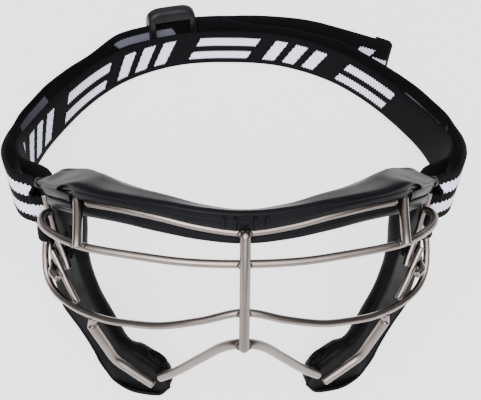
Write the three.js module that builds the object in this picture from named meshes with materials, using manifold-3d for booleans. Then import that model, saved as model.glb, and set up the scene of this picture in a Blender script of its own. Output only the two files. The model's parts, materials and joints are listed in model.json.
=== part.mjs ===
// Lacrosse goggles: a welded wire cage, moulded pads and an elastic head strap.
// Millimetres, +Z up. The cage is drawn upright, as it is worn, and then leans back
// into the pose in which the goggles rest on a table: on both cheek pads and the strap.
// In the worn frame X is to the right, Y runs from the nose to the back of the head,
// and the origin lies midway between the two strap brackets.

import * as THREE from 'three';
import { mergeVertices } from 'three/addons/utils/BufferGeometryUtils.js';
import Module from 'manifold-3d';

const wasm = await Module();
wasm.setup();

// Overall cage sizes: half width over the wire axes, reach from the strap brackets
// forward to the nose, and height from the brow crest to the cheek pads.
const cageHalfWidth = 80;
const cageReach = 60;
const cageHeight = 110;

// How the goggles rest: lean of the cage and height of the bracket line on the table.
const restLean = THREE.MathUtils.degToRad(15);
const bracketRise = 63.4;

// Wire gauges.
const browWireDiameter = 2.8;
const eyeWireDiameter = 2.9;
const lowerWireDiameter = 2.8;
const noseWireDiameter = 3.6;
const noseBarDiameter = 3.6;
const postDiameter = 3.3;
const cheekWireDiameter = 3.8;
const rimWireDiameter = 2.6;
const bracketDiameter = 3;

// Gaps: between welded or seated pieces, and the play of the webbing on its wire.
const seatClearance = 0.3;
const webbingClearance = 0.45;
const loopPlay = 3.2;
const webbingHeadroom = 0.92;

// The arch over each post is wider than the post itself.
const archRoom = 1;

// Brow pad: greatest height of its section as a share of the cage's, greatest depth
// and thickness of its lips.
const browPadHeightShare = 0.127;
const browPadHeight = cageHeight * browPadHeightShare;
const browPadDepth = 15;
const lipThickness = 3;
const lipReach = 1.3;

// Side pads: greatest thickness, at the cheek.
const sidePadThickness = 12;

// Webs that join the cheek wires to the lower wire.
const webThickness = 2.2;
const webWidth = 3.6;

// Strap: webbing section, loop sizes on the table, and the round back stretch.
const webbingWidth = 25;
const webbingThickness = 1.8;
const strapWidthShare = 1.35;
const strapHalfWidth = cageHalfWidth * strapWidthShare;
const strapDepth = 179;
const strapDrift = 2.4;
const layerSpacing = 10.5;
const backRadiusShare = 1.37;
const backRadius = strapHalfWidth * backRadiusShare;
const backCentreY = strapDepth + layerSpacing - backRadius;

// Slider on the strap, its angular place on the round back stretch, and the tail.
const sliderLength = 32;
const sliderHeight = 33;
const sliderWall = 3;
const sliderCorner = 2.2;
const sliderAngle = THREE.MathUtils.degToRad(-15);
const sliderTravel = THREE.MathUtils.degToRad(5);
const sliderBarDiameter = 1.8;
const tailEndAngle = THREE.MathUtils.degToRad(41);
const tailHemLength = 11;
const tailFlare = 10;

// Facets, and how near two corners are when they count as one.
const wireSides = 10;
const wireStep = 4.2;
const weldTolerance = 1e-4;

const up = new THREE.Vector3(0, 0, 1);
const vec = (x, y, z) => new THREE.Vector3(x, y, z);

const finishes = {
  titanium: { color: 0x8f8782, roughness: 0.34, metalness: 1 },
  padBlack: { color: 0x1b1b1d, roughness: 0.3, metalness: 0 },
  rubberBlack: { color: 0x141415, roughness: 0.6, metalness: 0 },
  webbingBlack: { color: 0x111114, roughness: 0.9, metalness: 0 },
  sliderBlack: { color: 0x18181a, roughness: 0.4, metalness: 0 },
};

// Place in the worn frame from shares of the half width, the reach and the height.
function place([xShare, yShare, zShare]) {
  return vec(xShare * cageHalfWidth, yShare * cageReach, zShare * cageHeight);
}

function mirrored(points) {
  return points.map((p) => vec(-p.x, p.y, p.z));
}

// Full route from left to right out of the points of the right half.
function bothSides(halfPoints) {
  const [centre, ...rest] = halfPoints;
  return [...mirrored(rest).reverse(), centre, ...rest];
}

function curveThrough(points) {
  return new THREE.CatmullRomCurve3(points, false, 'centripetal');
}

// Round wire along a curve, with flat cut ends and a ring at its middle.
function wireGeometry(curve, diameter, sides = wireSides) {
  const outline = new THREE.Shape();
  for (let i = 0; i < sides; i += 1) {
    const angle = (i / sides) * 2 * Math.PI;
    const x = Math.cos(angle) * diameter / 2;
    const y = Math.sin(angle) * diameter / 2;
    if (i === 0) outline.moveTo(x, y);
    else outline.lineTo(x, y);
  }
  const halfSteps = Math.max(1, Math.round(curve.getLength() / wireStep / 2));
  const steps = 2 * halfSteps;
  return new THREE.ExtrudeGeometry(outline, { steps, bevelEnabled: false, extrudePath: curve });
}

// Closed body from a row of sections that all have the same count of points.
// A ring of sections closes on itself; an open row gets flat end caps.
function loftGeometry(sections, closedRing = false) {
  const count = sections[0].length;
  const positions = sections.flat().flatMap((p) => [p.x, p.y, p.z]);
  const index = [];
  const last = closedRing ? sections.length : sections.length - 1;
  for (let i = 0; i < last; i += 1) {
    const here = i * count;
    const next = ((i + 1) % sections.length) * count;
    for (let j = 0; j < count; j += 1) {
      const k = (j + 1) % count;
      index.push(here + j, here + k, next + k);
      index.push(here + j, next + k, next + j);
    }
  }
  if (!closedRing) {
    const ends = [[0, true], [sections.length - 1, false]];
    for (const [at, flip] of ends) {
      for (const [a, b, c] of capTriangles(sections[at])) {
        const base = at * count;
        if (flip) index.push(base + a, base + c, base + b);
        else index.push(base + a, base + b, base + c);
      }
    }
  }
  const geometry = new THREE.BufferGeometry();
  geometry.setAttribute('position', new THREE.Float32BufferAttribute(positions, 3));
  geometry.setIndex(index);
  return facingOut(geometry);
}

// Triangles of a flat section, found in its own plane.
function capTriangles(section) {
  const centre = section.reduce((sum, p) => sum.add(p), vec(0, 0, 0)).divideScalar(section.length);
  const normal = vec(0, 0, 0);
  section.forEach((p, i) => {
    const q = section[(i + 1) % section.length];
    normal.add(p.clone().sub(centre).cross(q.clone().sub(centre)));
  });
  normal.normalize();
  const side = section[0].clone().sub(centre).cross(normal).normalize();
  const over = normal.clone().cross(side);
  const flat = section.map((p) => {
    const d = p.clone().sub(centre);
    return new THREE.Vector2(d.dot(side), d.dot(over));
  });
  return THREE.ShapeUtils.triangulateShape(flat, []);
}

function facingOut(geometry) {
  const p = geometry.getAttribute('position');
  const index = geometry.getIndex().array;
  const a = vec(0, 0, 0);
  const b = vec(0, 0, 0);
  const c = vec(0, 0, 0);
  let volume = 0;
  for (let i = 0; i < index.length; i += 3) {
    a.fromBufferAttribute(p, index[i]);
    b.fromBufferAttribute(p, index[i + 1]);
    c.fromBufferAttribute(p, index[i + 2]);
    volume += a.dot(b.cross(c));
  }
  if (volume < 0) index.reverse();
  return geometry;
}

function toSolid(geometry) {
  const bare = geometry.clone();
  bare.deleteAttribute('normal');
  bare.deleteAttribute('uv');
  const merged = mergeVertices(bare, weldTolerance);
  const mesh = new wasm.Mesh({
    numProp: 3,
    vertProperties: merged.getAttribute('position').array,
    triVerts: Uint32Array.from(merged.getIndex().array),
  });
  return new wasm.Manifold(mesh);
}

function cutGeometry(geometry, cutters) {
  let solid = toSolid(geometry);
  for (const cutter of cutters) solid = solid.subtract(toSolid(cutter));
  const result = solid.getMesh();
  const cut = new THREE.BufferGeometry();
  cut.setAttribute('position', new THREE.BufferAttribute(result.vertProperties, 3));
  cut.setIndex(new THREE.BufferAttribute(result.triVerts, 1));
  return cut;
}

function part(name, geometry, finish) {
  const mesh = new THREE.Mesh(geometry, new THREE.MeshStandardMaterial(finishes[finish]));
  mesh.name = name;
  return mesh;
}

// Stretch of a curve between two shares of its length.
function stretchOf(curve, from, to, count) {
  const points = [];
  for (let i = 0; i <= count; i += 1) points.push(curve.getPointAt(from + (to - from) * i / count));
  return curveThrough(points);
}

// Wire routes, right half from the centre outwards, or one side from its start.
const browRouteShares = [
  [0, -0.775, 0.225], [0.185, -0.753, 0.238], [0.35, -0.703, 0.254], [0.525, -0.608, 0.249],
  [0.694, -0.477, 0.22], [0.825, -0.308, 0.168], [0.925, -0.142, 0.123], [0.985, -0.02, 0.104],
];
const eyeWireShares = [
  [0, -0.838, 0.131], [0.238, -0.82, 0.131], [0.438, -0.773, 0.134], [0.669, -0.687, 0.131],
  [0.77, -0.6, 0.119], [0.84, -0.512, 0.104], [0.91, -0.4, 0.09], [0.94, -0.3, 0.082],
  [0.936, -0.225, 0.074], [0.915, -0.187, 0.066],
];
const lowerWireShares = [
  [0, -0.927, -0.028], [0.188, -0.905, -0.077], [0.369, -0.842, -0.135], [0.52, -0.755, -0.175],
  [0.65, -0.667, -0.205], [0.819, -0.5, -0.241], [0.944, -0.342, -0.243], [0.993, -0.242, -0.214],
  [1.004, -0.163, -0.155], [0.996, -0.115, -0.102],
];
const noseWireShares = [
  [0, -0.982, -0.138], [0.08, -0.935, -0.18], [0.196, -0.85, -0.298], [0.318, -0.77, -0.422],
  [0.408, -0.705, -0.503],
];

// Root of each post in the brow pad: place along the brow wire, then forward of it
// and above it, as shares of the pad's depth and height.
const postRootShares = [
  [0.872, -0.08, 0.02], [0.764, -0.08, 0.12], [0.678, -0.07, 0.165], [0.652, -0.03, 0.13],
  [0.628, 0.09, -0.03],
];

// The foot of each post bends over the eye wire: place along that wire's route, and the
// angles above level at which the post stands in front of it.
const postFootShare = 0.803;
const postFootAngles = [76, 30].map(THREE.MathUtils.degToRad);
const upperRimShares = [
  [0.955, -0.1, 0.106], [0.945, -0.125, 0.05], [0.936, -0.14, 0], [0.925, -0.165, -0.05],
  [0.9, -0.21, -0.1], [0.878, -0.255, -0.14],
];
const lowerRimShares = [
  [0.942, -0.235, -0.092], [0.903, -0.3, -0.143], [0.866, -0.365, -0.192], [0.82, -0.43, -0.255],
];
const cheekWireShares = [
  [0.741, -0.567, -0.292], [0.691, -0.583, -0.382], [0.638, -0.6, -0.468], [0.575, -0.625, -0.505],
  [0.454, -0.667, -0.572],
];

// Strap bracket: the webbing hangs on its upright, just below the tip of the brow pad.
// The upright is as tall as the webbing needs, so its heights are shares of the
// webbing's width above the middle.
const bracketPlaceShares = [1.008, 0.053];
const bracketUprightShares = [
  [1.006, 0.035, 0.58], [1.008, 0.053, 0.453], [1.008, 0.053, -0.52], [1.003, 0.028, -0.656],
  [0.98, -0.08, -0.708],
];
const bracketFootShares = [[0.948, -0.25, -0.16], [0.938, -0.34, -0.148], [0.895, -0.405, -0.147]];

const browRoute = curveThrough(bothSides(browRouteShares.map(place)));
const eyeRoute = curveThrough(bothSides(eyeWireShares.map(place)));
const lowerRoute = curveThrough(bothSides(lowerWireShares.map(place)));
const noseRoute = curveThrough(bothSides(noseWireShares.map(place)));

// Place on the brow wire's route, with the level direction that faces away from the head.
function browPlace(along) {
  const u = (along + 1) / 2;
  const tangent = browRoute.getTangentAt(u).setZ(0).normalize();
  return { origin: browRoute.getPointAt(u), forward: vec(tangent.y, -tangent.x, 0) };
}

const postRoot = postRootShares.map(([along, forwardShare, riseShare]) => {
  const { origin, forward } = browPlace(along);
  return origin.addScaledVector(forward, forwardShare * browPadDepth)
    .addScaledVector(up, riseShare * browPadHeight);
});
const [postFootTop, postFootFront] = postFootAngles;
const footOffset = ((eyeWireDiameter + postDiameter) / 2 + seatClearance)
  / Math.cos((postFootTop - postFootFront) / 2);
const postFoot = postFootAngles.map((angle) => eyeRoute.getPointAt(postFootShare)
  .add(vec(0, -Math.cos(angle) * footOffset, Math.sin(angle) * footOffset)));
const postPoints = [...postRoot, ...postFoot];

const browTip = place(browRouteShares[browRouteShares.length - 1]);
const bracketMiddle = place([...bracketPlaceShares, 0])
  .setZ(browTip.z - webbingWidth / 2 - webbingHeadroom);
const bracketUpright = bracketUprightShares.map(([x, y, rise]) => place([x, y, 0])
  .setZ(bracketMiddle.z + rise * webbingWidth));
const bracketPoints = [...bracketUpright, ...bracketFootShares.map(place)];

// The brow wire fills the middle of the groove of the brow pad.
const browWireEndShare = 0.205;
const browWirePoints = 28;
const browWireCurve = stretchOf(browRoute, browWireEndShare, 1 - browWireEndShare, browWirePoints);

// The nose bar stands in front of the middle of each cross wire, one gap away.
function noseBarCurve() {
  const crossings = [
    [place(browRouteShares[0]), browWireDiameter],
    [place(eyeWireShares[0]), eyeWireDiameter],
    [place(lowerWireShares[0]), lowerWireDiameter],
    [place(noseWireShares[0]), noseWireDiameter],
  ];
  const first = crossings[0][0];
  const last = crossings[crossings.length - 1][0];
  const along = last.clone().sub(first).normalize();
  const forward = vec(0, along.z, -along.y).normalize();
  const points = crossings.map(([p, d]) => {
    const offset = (d + noseBarDiameter) / 2 + seatClearance;
    return p.clone().addScaledVector(forward, offset);
  });
  const overrun = noseBarDiameter / 2;
  points.unshift(points[0].clone().addScaledVector(along, -overrun));
  points.push(points[points.length - 1].clone().addScaledVector(along, overrun / 2));
  return curveThrough(points);
}

// The groove of the brow pad is open to the front over the angle left by its facets.
const grooveFacets = 6;
const grooveFacetAngle = THREE.MathUtils.degToRad(40);
const grooveFirstAngle = Math.PI - grooveFacets * grooveFacetAngle / 2;

// Rounding of the lips, and the underside behind them as shares of depth and drop.
const lipCorner = lipReach * 0.7;
const lipMouth = lipReach * 0.6;
const lipRound = lipReach / 4;
const undersideShares = [[0.3, 1], [0.65, 0.75]];

// Brow pad section at one place of the groove: forward and up from the wire axis.
function browSection(crest, depth, rear, drop, squeeze, lift) {
  const groove = (browWireDiameter / 2 + seatClearance) / Math.cos(grooveFacetAngle / 2);
  const outline = [
    [-lipReach / 2, crest], [lipCorner, crest - lipCorner], [lipReach, groove + lipReach],
    [lipMouth, groove + lipRound],
  ];
  for (let i = 0; i <= grooveFacets; i += 1) {
    const angle = grooveFirstAngle + i * grooveFacetAngle;
    outline.push([Math.cos(angle) * groove, Math.sin(angle) * groove]);
  }
  outline.push(
    [lipMouth, -groove - lipRound], [lipReach, -groove - lipReach],
    [lipCorner, -drop + lipReach / 2], [0, -drop],
    ...undersideShares.map(([back, down]) => [-depth * back, -drop * down]),
    [-depth, -lipThickness / 2], [-depth - lipRound, rear / 2], [-depth, rear - lipCorner],
    [-depth + lipReach, rear], [-depth / 2, (crest + rear) / 2 + lipRound],
  );
  return outline.map(([f, u]) => [f, u * squeeze + lift]);
}

// Rows: place along the half route, crest, depth, rear edge, lip drop, squeeze and lift
// towards the tip, as shares of the pad's height and depth.
const browSectionShares = [
  [0, 0.614, 0.567, 0.214, 0.321, 1, 0],
  [0.16, 0.53, 0.633, 0.171, 0.385, 1, 0],
  [0.31, 0.443, 0.767, 0.114, 0.45, 1, 0],
  [0.47, 0.4, 0.9, 0.13, 0.43, 1, 0],
  [0.65, 0.4, 0.967, 0.186, 0.43, 1, 0],
  [0.8, 0.43, 0.9, 0.5, 0.4, 1, 0],
  [0.905, 0.4, 0.7, 0.62, 0.36, 1, 0],
  [0.94, 0.38, 0.6, 0.6, 0.35, 1, 0],
  [0.955, 0.38, 0.55, 0.58, 0.32, 0.5, 0.17],
  [1, 0.3, 0.3, 0.4, 0.3, 0.36, 0.17],
];

// Values of a table row between the rows that lie before and after it.
function rowAt(table, at) {
  const next = Math.max(1, table.findIndex((row) => row[0] >= at));
  const [low, high] = [table[next - 1], table[next]];
  const t = (at - low[0]) / (high[0] - low[0]);
  return low.map((value, i) => THREE.MathUtils.lerp(value, high[i], t));
}

const browRingShares = [
  0, 0.06, 0.12, 0.19, 0.26, 0.33, 0.4, 0.47, 0.54, 0.6, 0.66, 0.72, 0.77, 0.82, 0.87,
  0.91, 0.94, 0.955, 0.98, 1,
];

function browPadGeometry() {
  const all = [...browRingShares.slice(1).map((s) => -s).reverse(), ...browRingShares];
  const sections = all.map((s) => {
    const [, crest, depth, rear, drop, squeeze, lift] = rowAt(browSectionShares, Math.abs(s));
    const { origin, forward } = browPlace(s);
    const outline = browSection(crest * browPadHeight, depth * browPadDepth, rear * browPadHeight,
      drop * browPadHeight, squeeze, lift * browPadHeight);
    return outline.map(([f, h]) => origin.clone().addScaledVector(forward, f).addScaledVector(up, h));
  });
  return loftGeometry(sections);
}

// Side pad: inner and outer edge of its front face from temple to cheek, with the
// thickness of each place as a share of the greatest thickness.
const sidePadRows = [
  { innerShare: [0.762, -0.29, 0.128], outerShare: [0.93, -0.105, 0.055], thickShare: 0.55 },
  { innerShare: [0.79, -0.28, 0], outerShare: [0.95, -0.08, -0.025], thickShare: 0.6 },
  { innerShare: [0.81, -0.27, -0.09], outerShare: [0.965, -0.08, -0.13], thickShare: 0.62 },
  { innerShare: [0.795, -0.3, -0.18], outerShare: [0.95, -0.14, -0.25], thickShare: 0.65 },
  { innerShare: [0.76, -0.35, -0.265], outerShare: [0.905, -0.24, -0.355], thickShare: 0.7 },
  { innerShare: [0.705, -0.41, -0.35], outerShare: [0.83, -0.34, -0.44], thickShare: 0.78 },
  { innerShare: [0.645, -0.465, -0.42], outerShare: [0.765, -0.425, -0.52], thickShare: 0.88 },
  { innerShare: [0.57, -0.52, -0.465], outerShare: [0.71, -0.485, -0.605], thickShare: 1 },
  { innerShare: [0.46, -0.58, -0.505], outerShare: [0.65, -0.53, -0.675], thickShare: 1 },
  { innerShare: [0.365, -0.615, -0.56], outerShare: [0.58, -0.57, -0.73], thickShare: 0.95 },
  { innerShare: [0.35, -0.62, -0.62], outerShare: [0.46, -0.61, -0.73], thickShare: 0.75 },
];
const sidePadOutlineShares = [
  [0.08, 0.14], [0.26, 0], [0.74, 0], [0.93, 0.14], [1, 0.5], [0.92, 0.86], [0.7, 1], [0.3, 1], [0.08, 0.86],
  [0, 0.5],
];

function sidePadGeometry() {
  const rows = sidePadRows.map((row) => ({
    inner: place(row.innerShare),
    outer: place(row.outerShare),
    thick: row.thickShare * sidePadThickness,
  }));
  const innerEdge = curveThrough(rows.map((row) => row.inner));
  const outerEdge = curveThrough(rows.map((row) => row.outer));
  const perRow = 2;
  const sections = [];
  const last = rows.length - 1;
  for (let i = 0; i <= last * perRow; i += 1) {
    const t = i / (last * perRow);
    const low = Math.min(last - 1, Math.floor(i / perRow));
    const thick = THREE.MathUtils.lerp(rows[low].thick, rows[low + 1].thick, i / perRow - low);
    const a = innerEdge.getPoint(t);
    const b = outerEdge.getPoint(t);
    const across = b.clone().sub(a);
    const along = innerEdge.getTangent(t).add(outerEdge.getTangent(t));
    const back = across.clone().cross(along).normalize();
    if (back.y < 0) back.negate();
    sections.push(sidePadOutlineShares.map(([w, d]) => a.clone().addScaledVector(across, w)
      .addScaledVector(back, d * thick)));
  }
  return loftGeometry(sections);
}

// Web between the lower wire and the cut top of a cheek wire.
function webGeometry(top, bottom) {
  const down = bottom.clone().sub(top).normalize();
  const side = vec(1, 0, 0).addScaledVector(down, -down.x).normalize();
  const through = down.clone().cross(side);
  const corners = [[-1, -1], [1, -1], [1, 1], [-1, 1]];
  const section = (p) => corners.map(([s, d]) => p.clone().addScaledVector(side, s * webWidth / 2)
    .addScaledVector(through, d * webThickness / 2));
  return loftGeometry([section(top), section(bottom)]);
}

// From the worn frame to the table: lean back about X, then lift.
function onTable(p) {
  return p.clone().applyAxisAngle(vec(1, 0, 0), -restLean).add(vec(0, 0, bracketRise));
}

// Webbing section: a thin strip across its route, between an edge below and one above.
function webbingSection(at, tangent, upright) {
  const out = tangent.clone().cross(upright).normalize();
  const high = out.clone().cross(tangent).normalize();
  const corners = [[-1, -1], [1, -1], [1, 1], [-1, 1]];
  return corners.map(([o, h]) => at.clone().addScaledVector(out, o * webbingThickness / 2)
    .addScaledVector(high, h * webbingWidth / 2));
}

// Inner layer, from the back to the bracket: shares of the strap's half width and
// depth, and the height of its middle as a share of the way up to the bracket.
const innerLayerShares = [
  [0, 1.003, 0], [0.15, 1, 0], [0.3, 0.986, 0], [0.44, 0.957, 0], [0.56, 0.92, 0], [0.68, 0.868, 0],
  [0.79, 0.797, 0.005], [0.885, 0.71, 0.025], [0.96, 0.61, 0.07], [1.01, 0.51, 0.145],
  [1.024, 0.42, 0.25], [1.013, 0.33, 0.4], [0.965, 0.24, 0.595], [0.885, 0.15, 0.785],
];

// Outer layer, from the bracket to where the round back stretch begins, in the same shares.
const outerLayerShares = [
  [0.87, 0.062, 0.975], [0.93, 0.115, 0.9], [0.995, 0.2, 0.72], [1.05, 0.3, 0.5], [1.085, 0.4, 0.3],
  [1.1, 0.5, 0.165], [1.08, 0.6, 0.06], [1.035, 0.69, 0.01], [0.939, 0.779, 0], [0.818, 0.864, 0],
];

const webbingRest = webbingWidth / 2;
const loopMiddle = onTable(bracketMiddle);
const wornUp = up.clone().applyAxisAngle(vec(1, 0, 0), -restLean);

function strapPoint([xShare, yShare, rise]) {
  return {
    at: vec(xShare * strapHalfWidth, yShare * strapDepth,
      THREE.MathUtils.lerp(webbingRest, loopMiddle.z, rise)),
    lean: rise,
  };
}

// The slack webbing lies a little further out on the right than on the left.
function drifted({ at, lean }) {
  const share = Math.sin(Math.PI * THREE.MathUtils.clamp(at.y / strapDepth, 0, 1)) ** 2;
  return { at: at.clone().add(vec(strapDrift * share, 0, 0)), lean };
}

// The webbing turns round the bracket with room for the wire to tilt in the loop.
// Each point: share of the side distance, then shares of the front and side distances.
const bracketTurnShares = [
  [-1, 0, 2.1], [-1, 0, 0], [-1, -1, 1.2], [-0.8, -1, 0.4], [0, -1, 0], [0.8, -1, 0.4], [1, -1, 1.2],
  [1, 0, 0], [1.3, 0, 1.1],
];

function bracketTurn() {
  const side = bracketDiameter / 2 + webbingClearance + webbingThickness / 2;
  const front = side + loopPlay;
  return bracketTurnShares.map(([across, ahead, behind]) => ({
    at: loopMiddle.clone().add(vec(across * side, ahead * front + behind * side, 0)),
    lean: 1,
  }));
}

// Height of the middle of the outer layer on the round back stretch: the webbing
// lies on the table and is lifted where the slider holds it.
const backHalfAngle = THREE.MathUtils.degToRad(30);
const liftEase = THREE.MathUtils.degToRad(11);
const sliderHalfAngle = sliderLength / 2 / backRadius;

function backHeight(angle) {
  const beyond = Math.abs(angle - sliderAngle) - sliderHalfAngle - sliderTravel;
  const share = THREE.MathUtils.clamp(1 - beyond / liftEase, 0, 1);
  return THREE.MathUtils.lerp(webbingRest, sliderHeight / 2, THREE.MathUtils.smoothstep(share, 0, 1));
}

function onBack(angle, radius, height) {
  return vec(Math.sin(angle) * radius, backCentreY + Math.cos(angle) * radius, height);
}

function backPoints() {
  const count = 20;
  const points = [];
  for (let i = 0; i <= count; i += 1) {
    const angle = backHalfAngle * (1 - 2 * i / count);
    points.push({ at: onBack(angle, backRadius, backHeight(angle)), lean: 0 });
  }
  return points;
}

function mirroredStations(stations) {
  return stations.map(({ at, lean }) => ({ at: vec(-at.x, at.y, at.z), lean })).reverse();
}

function strapStations() {
  const inner = innerLayerShares.map(strapPoint);
  const outer = outerLayerShares.map(strapPoint);
  const turn = bracketTurn();
  return [
    ...inner.map(drifted), ...turn, ...outer.map(drifted), ...backPoints(),
    ...mirroredStations(outer).map(drifted), ...mirroredStations(turn),
    ...mirroredStations(inner.slice(1)).map(drifted),
  ];
}

function strapWebbingGeometry() {
  const stations = strapStations();
  const route = new THREE.CatmullRomCurve3(stations.map((s) => s.at), true, 'centripetal');
  const perStation = 2;
  const total = stations.length * perStation;
  const sections = [];
  for (let i = 0; i < total; i += 1) {
    const t = i / total;
    const low = Math.floor(i / perStation);
    const lean = THREE.MathUtils.lerp(stations[low].lean, stations[(low + 1) % stations.length].lean,
      i / perStation - low);
    const upright = up.clone().lerp(wornUp, lean).normalize();
    sections.push(webbingSection(route.getPoint(t), route.getTangent(t), upright));
  }
  return loftGeometry(sections, true);
}

// A strip or sleeve that follows the round back stretch between two angles, and
// stands away from it by what its flare gives for each angle.
function arcSections(from, to, count, outline, flare = () => 0) {
  const sections = [];
  for (let i = 0; i <= count; i += 1) {
    const angle = from + (to - from) * i / count;
    sections.push(outline.map(([r, h]) => onBack(angle, r + flare(angle), h)));
  }
  return sections;
}

// The free end of the tail springs away from the band: share of the way to its end,
// share of the whole flare.
const tailFlareShares = [[0, 0], [0.3, 0.3], [0.5, 0.55], [0.7, 0.5], [0.88, 0.7], [1, 1]];

function tailSpring(angle) {
  const share = THREE.MathUtils.clamp(angle / tailEndAngle, 0, 1);
  return share > 0 ? rowAt(tailFlareShares, share)[1] * tailFlare : 0;
}

const layerPitch = webbingThickness + webbingClearance;
const tailRadius = backRadius + layerPitch;

function stripOutline(radius) {
  const t = webbingThickness / 2;
  const low = (sliderHeight - webbingWidth) / 2;
  const high = low + webbingWidth;
  return [[radius - t, low], [radius + t, low], [radius + t, high], [radius - t, high]];
}

function roundedOutline(inside, outside, low, high, corner) {
  return [
    [inside + corner, low], [outside - corner, low], [outside, low + corner], [outside, high - corner],
    [outside - corner, high], [inside + corner, high], [inside, high - corner], [inside, low + corner],
  ];
}

// The slider is a sleeve round two layers of webbing.
const slotInside = backRadius - webbingThickness / 2 - webbingClearance;
const slotOutside = tailRadius + webbingThickness / 2 + webbingClearance;
const slotLow = (sliderHeight - webbingWidth) / 2 - webbingClearance;

// The top corners are rounded: share of the slider's length, share of its height.
const sliderTopShares = [[0, 0.915], [0.06, 0.95], [0.14, 0.98], [0.28, 1], [0.72, 1], [0.86, 0.98],
  [0.94, 0.95], [1, 0.915]];
const slotOverrunShare = 0.1;

function sliderGeometry() {
  const slotCorner = webbingClearance / 2;
  const slot = roundedOutline(slotInside, slotOutside, slotLow, sliderHeight - slotLow, slotCorner);
  const from = sliderAngle - sliderHalfAngle;
  const to = sliderAngle + sliderHalfAngle;
  const rings = sliderTopShares.map(([along, top]) => {
    const angle = THREE.MathUtils.lerp(from, to, along);
    return roundedOutline(slotInside - sliderWall, slotOutside + sliderWall, 0, sliderHeight * top,
      sliderCorner).map(([r, h]) => onBack(angle, r, h));
  });
  const overrun = sliderHalfAngle * slotOverrunShare;
  const slotRings = 8;
  const opening = loftGeometry(arcSections(from - overrun, to + overrun, slotRings, slot));
  return cutGeometry(loftGeometry(rings), [opening]);
}

const barLength = sliderHeight - 2 * slotLow - 2 * seatClearance;

function sliderBarGeometry() {
  const bar = new THREE.CylinderGeometry(sliderBarDiameter / 2, sliderBarDiameter / 2, barLength, wireSides);
  bar.rotateX(Math.PI / 2);
  const seat = onBack(sliderAngle, tailRadius, sliderHeight / 2);
  return bar.translate(seat.x, seat.y, seat.z);
}

const tailStartAngle = sliderAngle + (sliderBarDiameter / 2 + webbingClearance) / tailRadius;

function tailGeometry() {
  const rings = 26;
  return loftGeometry(arcSections(tailStartAngle, tailEndAngle, rings, stripOutline(tailRadius), tailSpring));
}

// The end of the tail is folded back on itself and sewn down.
function tailHemGeometry() {
  const radius = tailRadius + webbingThickness + seatClearance;
  const from = tailEndAngle - tailHemLength / radius;
  const rings = 3;
  return loftGeometry(arcSections(from, tailEndAngle, rings, stripOutline(radius), tailSpring));
}

// Cutters: each wire thickened by the gap that a moulded pad keeps to it.
const seatOf = (curve, diameter) => wireGeometry(curve, diameter + 2 * seatClearance);

const sideSigns = [['right', 1], ['left', -1]];
const sideCurve = (points, sign) => curveThrough(sign > 0 ? points : mirrored(points));

const browPadShape = browPadGeometry();
const browPadRoom = browPadShape.clone().translate(0, 0, -seatClearance);

const cage = new THREE.Group();
cage.rotation.x = -restLean;
cage.position.z = bracketRise;
cage.add(
  part('brow_wire', wireGeometry(browWireCurve, browWireDiameter), 'titanium'),
  part('eye_wire', wireGeometry(eyeRoute, eyeWireDiameter), 'titanium'),
  part('lower_wire', wireGeometry(lowerRoute, lowerWireDiameter), 'titanium'),
  part('nose_wire', wireGeometry(noseRoute, noseWireDiameter), 'titanium'),
  part('nose_bar', wireGeometry(noseBarCurve(), noseBarDiameter), 'titanium'),
);

// Where each web meets the lower wire, and how far it runs past the cut top of the
// cheek wire before it is trimmed.
const webTopShare = 0.787;
const webOverlapShare = 0.02;

const postSeats = [];

for (const [side, sign] of sideSigns) {
  const post = sideCurve(postPoints, sign);
  const cheek = sideCurve(cheekWireShares.map(place), sign);
  const bracket = sideCurve(bracketPoints, sign);
  const upperRim = sideCurve(upperRimShares.map(place), sign);
  const lowerRim = sideCurve(lowerRimShares.map(place), sign);
  postSeats.push(seatOf(post, postDiameter + archRoom), seatOf(bracket, bracketDiameter),
    seatOf(upperRim, rimWireDiameter));

  const cheekTop = cheek.getPoint(0);
  const webTop = lowerRoute.getPointAt(sign > 0 ? webTopShare : 1 - webTopShare);
  const webSeats = [seatOf(lowerRoute, lowerWireDiameter), seatOf(cheek, cheekWireDiameter)];
  const web = cutGeometry(webGeometry(webTop, cheek.getPoint(webOverlapShare)), webSeats);

  const padSeats = [
    seatOf(upperRim, rimWireDiameter), seatOf(lowerRim, rimWireDiameter),
    seatOf(cheek, cheekWireDiameter), seatOf(noseRoute, noseWireDiameter),
    seatOf(lowerRoute, lowerWireDiameter), seatOf(bracket, bracketDiameter),
    browPadRoom, tableCutter(),
  ];
  const padShape = sidePadGeometry();
  if (sign < 0) padShape.applyMatrix4(new THREE.Matrix4().makeScale(-1, 1, 1));
  cage.add(
    part(`temple_post_${side}`, wireGeometry(post, postDiameter), 'titanium'),
    part(`cheek_wire_${side}`, wireGeometry(cheek, cheekWireDiameter), 'titanium'),
    part(`cheek_web_${side}`, web, 'titanium'),
    part(`upper_rim_wire_${side}`, wireGeometry(upperRim, rimWireDiameter), 'titanium'),
    part(`lower_rim_wire_${side}`, wireGeometry(lowerRim, rimWireDiameter), 'titanium'),
    part(`strap_bracket_${side}`, wireGeometry(bracket, bracketDiameter), 'titanium'),
    part(`side_pad_${side}`, cutGeometry(facingOut(padShape), padSeats), 'rubberBlack'),
  );
}
cage.add(part('brow_pad', cutGeometry(browPadShape, postSeats), 'padBlack'));

// Everything below the table, seen from the leaning cage.
function tableCutter() {
  const reachInWidths = 4;
  const reach = cageHalfWidth * reachInWidths;
  const slab = new THREE.BoxGeometry(reach, reach, cageHeight);
  slab.translate(0, 0, -cageHeight / 2 - bracketRise);
  return slab.rotateX(restLean);
}

const strap = new THREE.Group();
strap.add(
  part('strap_webbing', strapWebbingGeometry(), 'webbingBlack'),
  part('slider_frame', sliderGeometry(), 'sliderBlack'),
  part('slider_bar', sliderBarGeometry(), 'titanium'),
  part('strap_tail', tailGeometry(), 'webbingBlack'),
  part('tail_hem', tailHemGeometry(), 'webbingBlack'),
);

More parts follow.
